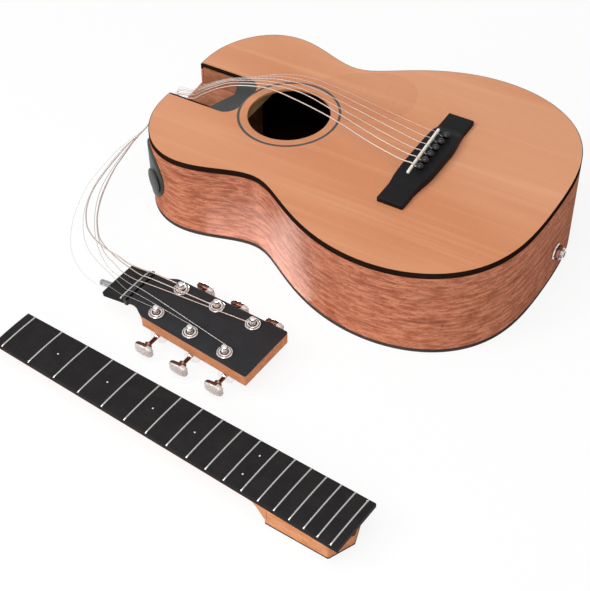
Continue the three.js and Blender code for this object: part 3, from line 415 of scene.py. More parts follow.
class Shape:
    """Closed surfaces in millimetres, gathered ring by ring and made one mesh."""

    def __init__(self) -> None:
        """Starts with no surface."""
        self.points: list[Array] = []
        self.faces: list[list[int]] = []
        self.uvs: list[Array] = []
        self.marks: list[int] = []
        self.count = 0

    def rings(self, rings: Array, closed: bool = False, place: Place = HERE, mark: int = 0) -> "Shape":
        """Joins each ring to the next, and closes the ends with a face or into a loop.

        The surface is P(i, j), i along the rings and j round them. Its map holds the
        length along and the length round in metres; an end face holds its two widest
        coordinates.

        Args:
            rings: Points of shape (rings, points on a ring, 3).
            closed: Whether the last ring joins the first.
            place: Frame that the points are given in.
            mark: Which of the piece's finishes the surface takes.

        Returns:
            This shape, for another surface.
        """
        m, n, _ = rings.shape
        index = self.count + np.arange(m * n).reshape(m, n)
        rows = np.vstack([index, index[:1]]) if closed else index
        loop = np.concatenate([rings, rings[:1]]) if closed else rings
        wrap = np.concatenate([rings, rings[:, :1]], 1)
        along = np.concatenate([[0.0], np.cumsum(np.linalg.norm(np.diff(loop, axis=0), axis=2).mean(1))])
        around = np.concatenate([[0.0], np.cumsum(np.linalg.norm(np.diff(wrap, axis=1), axis=2).mean(0))])
        a, b = rows[:-1], rows[1:]
        quads = np.stack([a, np.roll(a, -1, 1), np.roll(b, -1, 1), b], -1).reshape(-1, 4)
        i, j = np.meshgrid(np.arange(len(rows) - 1), np.arange(n), indexing="ij")
        u = np.stack([along[i], along[i], along[i + 1], along[i + 1]], -1)
        v = np.stack([around[j], around[j + 1], around[j + 1], around[j]], -1)
        self.faces += quads.tolist()
        self.uvs.append(np.stack([u, v], -1).reshape(-1, 2) * MM)
        self.marks += [mark] * len(quads)
        if not closed:
            for ring, ids in ((rings[0], index[0][::-1]), (rings[-1], index[-1])):
                self._cap(ring, ids, ids[0] != index[0][0], mark)
        self.points.append(place.carry(rings).reshape(-1, 3))
        self.count += m * n
        return self

    def _cap(self, ring: Array, ids: Array, reverse: bool, mark: int) -> None:
        """Adds an end face, unless the ring has shrunk to a point.

        Args:
            ring: Points of the end.
            ids: Their numbers.
            reverse: Whether the ids run backward.
            mark: Finish of the face.
        """
        spread = np.ptp(ring, axis=0)
        if spread.max() < 1e-3:
            return
        axes = np.sort(np.argsort(spread)[-2:])
        flat = ring[:, axes] * MM
        self.faces.append(ids.tolist())
        self.uvs.append(flat[::-1] if reverse and ids[0] > ids[-1] else flat)
        self.marks.append(mark)

    def make(
        self,
        name: str,
        finishes: Sequence[Material],
        slot: Slot,
        body: str = Body.GUITAR.value,
        replaces: Sequence[str] = (),
        crease: float = 32.0,
    ) -> Object:
        """Makes the mesh in metres, lets it ride, and says what it stands for.

        Args:
            name: Name of the piece.
            finishes: Materials, in the order of the surfaces' marks.
            slot: Slot of the record for the piece; not used.
            body: Body that the piece rides on.
            replaces: Nodes that the piece stands for.
            crease: Angle in degrees above which an edge stays sharp.

        Returns:
            The object.
        """
        mesh = bpy.data.meshes.new(name)
        mesh.from_pydata((np.concatenate(self.points) * MM).tolist(), [], self.faces)
        layer = mesh.uv_layers.new(name="UVMap")
        layer.data.foreach_set("uv", np.concatenate(self.uvs).astype(np.float32).ravel())
        mesh.polygons.foreach_set("material_index", np.array(self.marks, np.int32))
        for finish in finishes:
            mesh.materials.append(finish)
        bm = bmesh.new()
        bm.from_mesh(mesh)
        bmesh.ops.remove_doubles(bm, verts=bm.verts, dist=2e-6)
        bmesh.ops.recalc_face_normals(bm, faces=bm.faces)
        bm.to_mesh(mesh)
        bm.free()
        mesh.polygons.foreach_set("use_smooth", np.ones(len(mesh.polygons), bool))
        mesh.set_sharp_from_angle(angle=np.radians(crease))
        piece = put(name, mesh)
        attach(piece, body)
        if replaces:
            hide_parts(*replaces)
        log.info("made %s with %d faces on %s", name, len(mesh.polygons), body)
        return piece


# Finishes


def colour(code: str) -> tuple[float, float, float, float]:
    """Linear colour of a six-digit code: ((c + 0.055) / 1.055)^2.4 above 0.04045.

    Args:
        code: Six hexadecimal digits.

    Returns:
        Red, green, blue and alpha.
    """
    c = np.array([int(code[i : i + 2], 16) for i in (0, 2, 4)]) / 255.0
    linear = np.where(c <= 0.04045, c / 12.92, ((c + 0.055) / 1.055) ** 2.4)
    return (*linear.tolist(), 1.0)


class Signal:
    """A node's output that takes part in arithmetic; each operator adds a Math node."""

    def __init__(self, nodes: "Nodes", socket: bpy.types.NodeSocket) -> None:
        """Keeps the tree that new nodes go into."""
        self.nodes = nodes
        self.socket = socket

    def _math(self, operation: str, first: "Signal | float", second: "Signal | float" = 0.0) -> "Signal":
        """Adds one Math node on two values."""
        return self.nodes.node("ShaderNodeMath", {"operation": operation}, {0: first, 1: second})

    def __add__(self, other: "Signal | float") -> "Signal":
        """Sum."""
        return self._math("ADD", self, other)

    def __radd__(self, other: float) -> "Signal":
        """Sum with a number in front."""
        return self._math("ADD", other, self)

    def __sub__(self, other: "Signal | float") -> "Signal":
        """Difference."""
        return self._math("SUBTRACT", self, other)

    def __rsub__(self, other: float) -> "Signal":
        """Difference from a number."""
        return self._math("SUBTRACT", other, self)

    def __mul__(self, other: "Signal | float") -> "Signal":
        """Product."""
        return self._math("MULTIPLY", self, other)

    def __rmul__(self, other: float) -> "Signal":
        """Product with a number in front."""
        return self._math("MULTIPLY", other, self)

    def sine(self) -> "Signal":
        """Sine of the value in radians."""
        return self._math("SINE", self)

    def root(self) -> "Signal":
        """Square root."""
        return self._math("SQRT", self)

    def above(self, low: float, high: float) -> "Signal":
        """Smooth step from 0 at low to 1 at high."""
        settings = {"interpolation_type": "SMOOTHSTEP"}
        return self.nodes.node("ShaderNodeMapRange", settings, {0: self, 1: low, 2: high})


# Text as an input is a colour's six-digit code
Input = Signal | float | tuple | str


class Follow(Enum):
    """What a pattern follows: the part's own axes, or the surface's map."""

    AXES = "Object"
    SURFACE = "UV"


class Nodes:
    """A node tree, its output, and the one way to add to it."""

    def __init__(self, tree: bpy.types.NodeTree, output: str) -> None:
        """Empties the tree and gives it an output.

        Args:
            tree: Tree of a material or a world.
            output: Type of the output node.
        """
        self.tree = tree
        self.tree.nodes.clear()
        self.output = self.tree.nodes.new(output)

    def node(
        self, kind: str, settings: dict, inputs: dict[int | str, Input], output: int | str = 0
    ) -> Signal:
        """Adds a node.

        Args:
            kind: The node's type.
            settings: Its properties, set first.
            inputs: Values or links by socket.
            output: Which output to give back.

        Returns:
            The chosen output.
        """
        made = self.tree.nodes.new(kind)
        for key, value in settings.items():
            setattr(made, key, value)
        for key, value in inputs.items():
            self.feed(made.inputs[key], value)
        return Signal(self, made.outputs[output])

    def feed(self, socket: bpy.types.NodeSocket, value: Input) -> None:
        """Links a signal to a socket, or sets its value.

        Args:
            socket: Input of a node.
            value: What it takes.
        """
        if isinstance(value, Signal):
            self.tree.links.new(value.socket, socket)
        else:
            socket.default_value = colour(value) if isinstance(value, str) else value


class Recipe(Nodes):
    """One material and the nodes that make it."""

    def __init__(self, name: str) -> None:
        """Starts a material with a principled shader.

        Args:
            name: Name of the material.
        """
        self.material = bpy.data.materials.new(name)
        self.material.use_nodes = True
        super().__init__(self.material.node_tree, "ShaderNodeOutputMaterial")
        self.shader = self.tree.nodes.new("ShaderNodeBsdfPrincipled")
        self.feed(self.output.inputs["Surface"], Signal(self, self.shader.outputs[0]))

    def mapped(self, follow: Follow, scale: Sequence[float], shift: Sequence[float]) -> Signal:
        """Coordinates stretched, in repeats per metre, then shifted.

        Args:
            follow: What the coordinates follow.
            scale: Repeats per metre along each of the three.
            shift: What is added to each afterwards.

        Returns:
            The coordinates.
        """
        start = self.node("ShaderNodeTexCoord", {}, {}, follow.value)
        inputs = {"Vector": start, "Scale": tuple(scale), "Location": tuple(shift)}
        return self.node("ShaderNodeMapping", {"vector_type": "POINT"}, inputs)

    def plain(self, follow: Follow = Follow.AXES) -> tuple[Signal, Signal, Signal]:
        """The coordinates themselves, in metres."""
        return self.split(self.mapped(follow, (1.0, 1.0, 1.0), (0.0, 0.0, 0.0)))

    def noise(
        self,
        follow: Follow,
        scale: Sequence[float],
        detail: float = 2.0,
        rough: float = 0.5,
        shift: Sequence[float] = (0.0, 0.0, 0.0),
    ) -> Signal:
        """Noise on mapped coordinates, with finer layers of a share of its strength."""
        inputs = {"Vector": self.mapped(follow, scale, shift), "Scale": 1.0}
        return self.node("ShaderNodeTexNoise", {}, {**inputs, "Detail": detail, "Roughness": rough})

    def blend(self, share: Input, first: Input, second: Input) -> Signal:
        """Mix of two colours."""
        return self.node("ShaderNodeMix", {"data_type": "RGBA"}, {0: share, 6: first, 7: second}, 2)

    def split(self, vector: Signal) -> tuple[Signal, Signal, Signal]:
        """The three coordinates of a vector.

        Args:
            vector: What is split.

        Returns:
            Its x, y and z.
        """
        first = self.node("ShaderNodeSeparateXYZ", {}, {0: vector})
        outputs = first.socket.node.outputs
        return Signal(self, outputs[0]), Signal(self, outputs[1]), Signal(self, outputs[2])

    def bump(self, height: Signal, distance: float, strength: float) -> None:
        """Lets a height, scaled to a distance in metres, turn the surface's normal."""
        inputs = {"Height": height, "Distance": distance, "Strength": strength}
        self.feed(self.shader.inputs["Normal"], self.node("ShaderNodeBump", {}, inputs))

    def shade(self, **values: Input) -> None:
        """Sets or links the shader's sockets, named with _ for a space."""
        names = {key.lower().replace(" ", "_"): key for key in self.shader.inputs.keys()}
        for key, value in values.items():
            self.feed(self.shader.inputs[names[key]], value)


@dataclass(frozen=True)
class Cedar:
    """Quarter-sawn cedar under satin lacquer, its growth lines along the strings."""

    light: str = "dd9c74"
    deep: str = "cd8459"
    line: str = "b8714a"
    pale: str = "efb58c"
    sheen: str = "ecb48e"
    line_spacing: float = 0.0016
    line_wander: float = 34.0
    roughness: float = 0.42

    def make(self) -> Material:
        """Growth lines across x, fibre along y, and a slow drift of tone.

        Returns:
            The material.
        """
        recipe = Recipe("cedar_top")
        drift = recipe.noise(Follow.AXES, (14.0, 3.0, 3.0))
        wave = recipe.noise(Follow.AXES, (30.0, 1.6, 1.6), 2.0, 0.6)
        x, _, _ = recipe.plain()
        phase = x * (2.0 * np.pi / self.line_spacing) + wave * self.line_wander
        lines = (phase.sine() * 0.5 + 0.5).above(0.35, 1.0)
        fibre = recipe.noise(Follow.AXES, (1500.0, 26.0, 26.0), 3.0, 0.6)
        # Silk: the ray figure, its shimmer painted in as a paler sheen.
        silk = recipe.noise(Follow.AXES, (60.0, 420.0, 60.0), 2.0, 0.7).above(0.52, 0.78)
        tone = recipe.blend(drift.above(0.3, 0.7), self.deep, self.light)
        band = recipe.noise(Follow.AXES, (110.0, 2.4, 2.4), 2.0, 0.6, (3.0, 1.0, 2.0))
        tone = recipe.blend(band.above(0.5, 0.75) * 0.3, tone, self.pale)
        tone = recipe.blend(lines * (0.16 + fibre * 0.3), tone, self.line)
        tone = recipe.blend(silk * 0.10, tone, self.sheen)
        recipe.shade(base_color=tone, roughness=self.roughness + 0.12 * fibre)
        recipe.shade(coat_weight=0.18, coat_roughness=0.3, specular_ior_level=0.4)
        recipe.bump(lines * 0.4 + fibre * 0.6, 0.00003, 0.5)
        return recipe.material


@dataclass(frozen=True)
class Hardwood:
    """Lacquered hardwood: mottled tone, darker streaks, fine fibre and short open pores.

    Each pattern is a noise whose repeats per metre are fewer along the grain than across.
    Low in y, under a set height in metres, paler tones are painted light: the lit face of the neck block.
    """

    name: str
    light: str
    deep: str
    pore: str
    follow: Follow = Follow.SURFACE
    along: int = 0
    mottle: Pair = (60.0, 260.0)
    streak: Pair = (14.0, 220.0)
    fibre: Pair = (60.0, 1000.0)
    pit: Pair = (240.0, 1100.0)
    streaks: float = 0.42
    pores: float = 0.6
    roughness: float = 0.38
    coat: float = 0.0
    painted_light_below: float | None = None
    painted_light_tones: tuple[str, str] = ("f2cf98", "d9ab6f")
    painted_light_edge: float = 0.0005

    def stretched(self, recipe: Recipe, repeats: Pair, detail: float, shift: float) -> Signal:
        """Noise with one scale along the grain and one across it.

        Args:
            recipe: Material that the noise goes into.
            repeats: Repeats per metre along the grain and across it.
            detail: Finer layers of the noise.
            shift: What parts this pattern from the other ones.

        Returns:
            The noise.
        """
        scale = np.full(3, repeats[1])
        scale[self.along] = repeats[0]
        away = (shift, shift * 2.3, shift * 0.7)
        return recipe.noise(self.follow, scale, detail, 0.6, away)

    def make(self) -> Material:
        """Blends the tones by the patterns, the pores last.

        Returns:
            The material.
        """
        recipe = Recipe(self.name)
        mottle = self.stretched(recipe, self.mottle, 3.0, 0.0)
        streak = self.stretched(recipe, self.streak, 2.0, 4.1).above(0.54, 0.7)
        fibre = self.stretched(recipe, self.fibre, 2.0, 7.9)
        pores = self.stretched(recipe, self.pit, 1.0, 2.7).above(0.58, 0.7)
        drift = recipe.noise(self.follow, (9.0, 9.0, 9.0), 1.0, 0.4)
        tone = recipe.blend(mottle.above(0.36, 0.64), self.deep, self.light)
        tone = recipe.blend(fibre.above(0.45, 0.8) * 0.35, tone, self.deep)
        tone = recipe.blend(drift.above(0.4, 0.75) * 0.25, tone, self.light)
        tone = recipe.blend(streak * self.streaks, tone, self.pore)
        tone = recipe.blend(pores * self.pores, tone, self.pore)
        # Paler tones below a height along y: painted light on the neck block's lit face.
        if self.painted_light_below is not None:
            _, y, _ = recipe.plain()
            own = y.above(self.painted_light_below - self.painted_light_edge, self.painted_light_below + self.painted_light_edge)
            pale = recipe.blend(fibre, *self.painted_light_tones)
            tone = recipe.blend(own, pale, tone)
        recipe.shade(base_color=tone, roughness=self.roughness + 0.10 * fibre)
        recipe.shade(coat_weight=self.coat, coat_roughness=0.38, specular_ior_level=0.0)
        recipe.bump(1.0 - pores, 0.00004, 0.4)
        return recipe.material


@dataclass(frozen=True)
class Moulded:
    """Plastic, lacquer, bone or dense wood: one tone with a faint mottle and fine tooth."""

    name: str
    tone: str
    worn: str
    roughness: float
    tooth: float = 2600.0
    streak: float = 1.0
    coat: float = 0.0
    shine: float = 0.1

    def make(self) -> Material:
        """Mottle between two close tones; streak above 1 stretches it along the map.

        Returns:
            The material.
        """
        recipe = Recipe(self.name)
        mottle = recipe.noise(Follow.AXES, (60.0, 60.0, 60.0), 3.0, 0.6)
        stretch = (self.tooth / self.streak, self.tooth, self.tooth)
        follow = Follow.SURFACE if self.streak > 1.0 else Follow.AXES
        tooth = recipe.noise(follow, stretch, 2.0, 0.5)
        mask = mottle.above(0.35, 0.75) * 0.4 + tooth.above(0.45, 0.75) * 0.45
        recipe.shade(base_color=recipe.blend(mask, self.tone, self.worn))
        recipe.shade(roughness=self.roughness + 0.08 * mottle, specular_ior_level=self.shine)
        recipe.shade(coat_weight=self.coat, coat_roughness=0.1)
        recipe.bump(tooth, 0.00002, 0.35)
        return recipe.material


@dataclass(frozen=True)
class Metal:
    """Bare or plated metal with fine brushing and faint handling marks."""

    name: str
    tone: str
    dull: str
    roughness: float
    brush: float = 1.0

    def make(self) -> Material:
        """Marks shift tone and roughness; the brushing is a stretched noise.

        Returns:
            The material.
        """
        recipe = Recipe(self.name)
        marks = recipe.noise(Follow.AXES, (240.0, 240.0, 240.0), 3.0, 0.6)
        lines = recipe.noise(Follow.SURFACE, (300.0, 9000.0, 300.0), 2.0, 0.5)
        mask = marks.above(0.45, 0.8) * 0.5
        recipe.shade(base_color=recipe.blend(mask, self.tone, self.dull), metallic=1.0)
        recipe.shade(roughness=self.roughness + 0.12 * mask + 0.05 * lines * self.brush)
        recipe.bump(lines, 0.00001, 0.2 * self.brush)
        return recipe.material


@dataclass(frozen=True)
class Winding:
    """String of fine wire wound round a core, its turns counted along the map."""

    name: str
    tone: str
    valley_shade_and_age: str
    pitch: float
    metallic: float = 0.75
    slant: float = 900.0

    def make(self) -> Material:
        """Turns are |sin| ridges of one pitch along the string.

        Returns:
            The material.
        """
        recipe = Recipe(self.name)
        u, v, _ = recipe.plain(Follow.SURFACE)
        ridge = (u * (2.0 * np.pi / self.pitch) + v * self.slant).sine() * 0.5 + 0.5
        age = recipe.noise(Follow.SURFACE, (60.0, 60.0, 60.0), 2.0, 0.5)
        # The valley tone between the ridges is painted shade; in patches the same tone marks ageing.
        tone = recipe.blend(ridge.above(0.0, 0.7), self.valley_shade_and_age, self.tone)
        recipe.shade(base_color=recipe.blend(age.above(0.5, 0.9) * 0.3, tone, self.valley_shade_and_age))
        recipe.shade(metallic=self.metallic, roughness=0.36 + 0.1 * age)
        recipe.bump(ridge.root(), 0.00006, 0.6)
        return recipe.material


@dataclass(frozen=True)
class ClearGuard:
    """Clear stick-on film that shows the wood through it."""

    share: float = 0.04
    tones: tuple[str, str] = ("c98a63", "dba27d")

    def make(self) -> Material:
        """Mostly see-through, with a faint haze of scuffs.

        Returns:
            The material.
        """
        recipe = Recipe("clear_guard")
        scuff = recipe.noise(Follow.AXES, (90.0, 400.0, 90.0), 3.0, 0.7)
        tone = recipe.blend(scuff, *self.tones)
        recipe.shade(base_color=tone, roughness=0.14 + 0.1 * scuff)
        recipe.shade(alpha=self.share + 0.03 * scuff.above(0.5, 0.8))
        return recipe.material


@dataclass(frozen=True)
class RingInlay:
    """Dark ring with two paler lines, worked out from the distance to the hole's centre."""

    centre_y: float
    radius: float
    spacing: float = 0.0013
    tones: tuple[str, str] = ("2b2c2d", "6d6c6b")

    def make(self) -> Material:
        """Lines where the sine of the distance from the ring's middle is high.

        Returns:
            The material.
        """
        recipe = Recipe("rosette_inlay")
        x, y, _ = recipe.plain()
        dy = y - self.centre_y * MM
        off = (x * x + dy * dy).root() - self.radius * MM
        line = (off * (2.0 * np.pi / self.spacing)).sine().above(0.35, 0.9)
        tone = recipe.blend(line * 0.75, *self.tones)
        recipe.shade(base_color=tone, roughness=0.4 + 0.05 * line, coat_weight=0.1)
        return recipe.material


class Finishes:
    """Every material of the guitar, made once."""

    def __init__(self) -> None:
        """Makes them all."""
        self.cedar = Cedar().make()
        self.side = Hardwood("mahogany_side", "da9070", "b0664b", "6b3324", coat=0.06).make()
        self.back = Hardwood("mahogany_back", "c8805f", "a65f43", "66301f", Follow.AXES, 1, coat=0.06).make()
        # Near black inside the body: painted shade over the inner wood.
        self.inside = Hardwood(
            "inner_wood_painted_shade", "2a130b", "1e0d08", "0f0604", Follow.AXES, 1, roughness=0.8
        ).make()
        # Below 123.5 mm along y the block is painted light in paler tones, for the neck block's lit face.
        self.block = Hardwood(
            "mahogany_block", "b98063", "a36a4e", "6d3c2b", Follow.AXES, 1, roughness=0.5, painted_light_below=0.1235
        ).make()
        self.neck = Hardwood(
            "neck_wood", "e5a27a", "d69166", "a8643f", Follow.AXES, 1, streaks=0.25, pores=0.35, roughness=0.4
        ).make()
        self.ebony = Moulded("fretboard_wood", "1c1a1b", "2d2a29", 0.5, 1500.0, 22.0).make()
        self.bridge = Moulded("bridge_wood", "151416", "1e1c1e", 0.45, 1800.0).make()
        self.binding = Moulded("dark_binding", "241712", "33231c", 0.4, 900.0, 8.0, shine=0.0).make()
        self.low_binding = Moulded("back_edging", "46403d", "565050", 0.4, 900.0, 8.0, shine=0.0).make()
        self.face = Moulded("head_face", "2b2a2c", "363537", 0.4, 1200.0).make()
        self.plastic = Moulded("black_plastic", "414444", "525453", 0.34).make()
        self.gloss = Moulded("pin_plastic", "080809", "0e0e0f", 0.12, 500.0, 1.0, 0.3, 0.3).make()
        self.bone = Moulded("bone", "f3ede2", "e6ddcd", 0.38, 700.0).make()
        self.pearl = Moulded("dot_inlay", "e6e6e4", "cfd0d0", 0.25, 900.0).make()
        self.chrome = Metal("chrome", "f3f1ef", "d9d4d0", 0.1, 0.4).make()
        # Pale grey for the chrome keys' faces: painted reflection of the bright room.
        self.key_painted_reflection = Moulded("button_painted_reflection", "c4bab5", "e6e0dd", 0.18, 600.0, 1.0, 0.7, 0.8).make()
        # Brown chrome, painted: the wood's reflection on the keys and their shafts, shade in the washers'
        # rings, and a darker nut on the jack.
        self.shade_and_reflection_chrome = Metal("chrome_painted_shade_and_reflection", "6e4a40", "44302b", 0.2, 0.4).make()
        self.steel = Metal("fret_steel", "c9c8c6", "aeadab", 0.24).make()
        self.rod = Metal("rod_steel", "a9a9ab", "8a8a8c", 0.25).make()
        self.wound = Winding("wound_string", "ddccc2", "a8968b", 0.0004).make()
        self.plain = Winding("plain_string", "cfcdca", "b5b3b0", 0.004, 0.9).make()
        self.guard = ClearGuard().make()
        # Black for the string holes in the posts and the floor of the jack's bore: painted shade.
        self.shadow = Moulded("recess_painted_shade", "070606", "0d0c0c", 0.8).make()
        # Dark red-brown for the block inside the heel's rod slot: painted shade.
        self.rod_slot_shade = Moulded("rod_slot_painted_shade", "3a1512", "4c1f1a", 0.7).make()


def dress(frame: dict, node: str, finish: Material) -> None:
    """Gives a kept node a finish in place of its plain colour.

    Args:
        frame: The loaded part.
        node: Name of the node.
        finish: Material that it takes.
    """
    for slot in frame["nodes"][node].material_slots:
        slot.material = finish
    log.info("dressed %s in %s", node, finish.name)


@dataclass
class Assembly:
    """A part of the guitar that is built from its sizes, in the guitar's finishes."""

    finishes: Finishes

    def string_finish(self, line: "StringLine") -> tuple[Material, Slot]:
        """Material and slot of a string."""
        return (self.finishes.wound, Slot.WOUND) if line.wound else (self.finishes.plain, Slot.PLAIN)


# Camera and room


@dataclass(frozen=True)
class Lamp:
    """Area lamp: its place, width and length in millimetres and its power in watts."""

    name: str
    at: Triple
    width: float
    length: float
    power: float

    def make(self, axes: Sequence[Array] | Array) -> Object:
        """Adds the lamp, which shines against the last of its three axes.

        Args:
            axes: The lamp's x, y and z axis.

        Returns:
            The lamp.
        """
        data = bpy.data.lights.new(self.name, "AREA")
        data.shape = "RECTANGLE"
        data.size, data.size_y = self.width * MM, self.length * MM
        data.energy = self.power
        lamp = put(self.name, data)
        lamp.matrix_world = posed(axes, self.at)
        return lamp

    def aim(self, target: Triple) -> None:
        """Adds the lamp so that it faces a target.

        Args:
            target: Point in millimetres.
        """
        away = np.array(self.at) - np.array(target)
        back = away / np.linalg.norm(away)
        side = np.cross([0.0, 0.0, 1.0], back)
        side = side / np.linalg.norm(side)
        self.make([side, np.cross(back, side), back])


@dataclass
class Studio:
    """Camera, lamps and the pale floor.

    The camera's place and angles are those of the photograph, whose focal length is in
    pixels. The strip lies on the floor, faces up and shows in the lacquer alone.
    """

    camera_at: Triple = (-948.77, -526.11, 1002.04)
    yaw: float = 57.619
    pitch: float = 45.983
    roll: float = -0.6635
    focal_pixels: float = 1481.37
    picture: tuple[int, int] = (590, 591)
    sensor: float = 36.0
    near: float = 0.05
    far: float = 30.0
    ambient: float = 0.3
    paper_white: float = 0.88
    paper_tones: tuple[str, str] = ("fafafa", "f7f7f7")
    floor_reach: float = 6000.0
    floor_gap: float = 0.3
    middle: Triple = (-80.0, 20.0, 40.0)
    lamps: tuple[Lamp, ...] = (
        Lamp("lamp_key", (-1500.0, 1300.0, 1800.0), 900.0, 900.0, 25.0),
        Lamp("lamp_over", (-600.0, 0.0, 2200.0), 1500.0, 1500.0, 27.0),
        Lamp("lamp_left", (-1900.0, -300.0, 900.0), 900.0, 900.0, 7.0),
    )
    strip: Lamp = Lamp("strip_waist", (-121.0, 44.0, 1.0), 45.0, 130.0, 0.6)
    rays: tuple[str, ...] = ("Is Camera Ray", "Is Glossy Ray", "Is Transmission Ray")

    def build_camera(self) -> None:
        """Sets the camera from its place and its yaw, pitch and roll."""
        yaw, pitch, roll = np.radians([self.yaw, self.pitch, self.roll])
        forward = np.array([np.sin(yaw) * np.cos(pitch), np.cos(yaw) * np.cos(pitch), -np.sin(pitch)])
        right = np.array([np.cos(yaw), -np.sin(yaw), 0.0])
        up = np.cross(right, forward)
        across = np.cos(roll) * right + np.sin(roll) * up
        upward = -np.sin(roll) * right + np.cos(roll) * up
        data = bpy.data.cameras.new("camera")
        data.sensor_width = self.sensor
        data.lens = self.focal_pixels * self.sensor / max(self.picture)
        data.clip_start, data.clip_end = self.near, self.far
        camera = put("camera", data)
        camera.matrix_world = posed([across, upward, -forward], self.camera_at)
        bpy.context.scene.camera = camera
        log.info("camera set at %s mm", self.camera_at)

    def build_room(self) -> None:
        """White surroundings, a pale floor that keeps the shadow, the lamps and the strip."""
        world = bpy.data.worlds.new("room")
        bpy.context.scene.world = world
        world.use_nodes = True
        nodes = Nodes(world.node_tree, "ShaderNodeOutputWorld")
        level: Input = self.ambient
        for ray in self.rays:
            seen = nodes.node("ShaderNodeLightPath", {}, {}, ray)
            level = nodes.node("ShaderNodeMix", {}, {0: seen, 2: level, 3: 1.0})
        background = nodes.node("ShaderNodeBackground", {}, {"Strength": level})
        nodes.feed(nodes.output.inputs["Surface"], background)
        self._floor()
        for lamp in self.lamps:
            lamp.aim(self.middle)
        strip = self.strip.make(np.diag([1.0, -1.0, -1.0]))
        strip.visible_camera = strip.visible_diffuse = False

    def _floor(self) -> None:
        """Floor that is near white, mixed with plain white where it is seen or mirrored."""
        recipe = Recipe("floor_paper")
        tooth = recipe.noise(Follow.AXES, (500.0, 500.0, 500.0), 2.0, 0.5)
        tone = recipe.blend(tooth, *self.paper_tones)
        recipe.shade(base_color=tone, roughness=0.9, specular_ior_level=0.0)
        first, *others = (recipe.node("ShaderNodeLightPath", {}, {}, ray) for ray in self.rays)
        plain = Signal(recipe, recipe.shader.outputs[0])
        glow = recipe.node("ShaderNodeEmission", {}, {})
        inputs = {0: sum(others, first) * self.paper_white, 1: plain, 2: glow}
        mixed = recipe.node("ShaderNodeMixShader", {}, inputs)
        recipe.feed(recipe.output.inputs["Surface"], mixed)
        half = self.floor_reach * MM
        mesh = bpy.data.meshes.new("floor")
        corners = [(-half, -half, 0), (half, -half, 0), (half, half, 0), (-half, half, 0)]
        mesh.from_pydata(corners, [], [(0, 1, 2, 3)])
        mesh.materials.append(recipe.material)
        floor = put("floor", mesh)
        floor.location.z = -self.floor_gap * MM


# Strings


@dataclass(frozen=True)
class StringLine:
    """One string: its gauge, its length, and its points from the pin to its post."""

    name: str
    diameter: float
    length: float
    wound: bool
    points: tuple[Triple, ...]


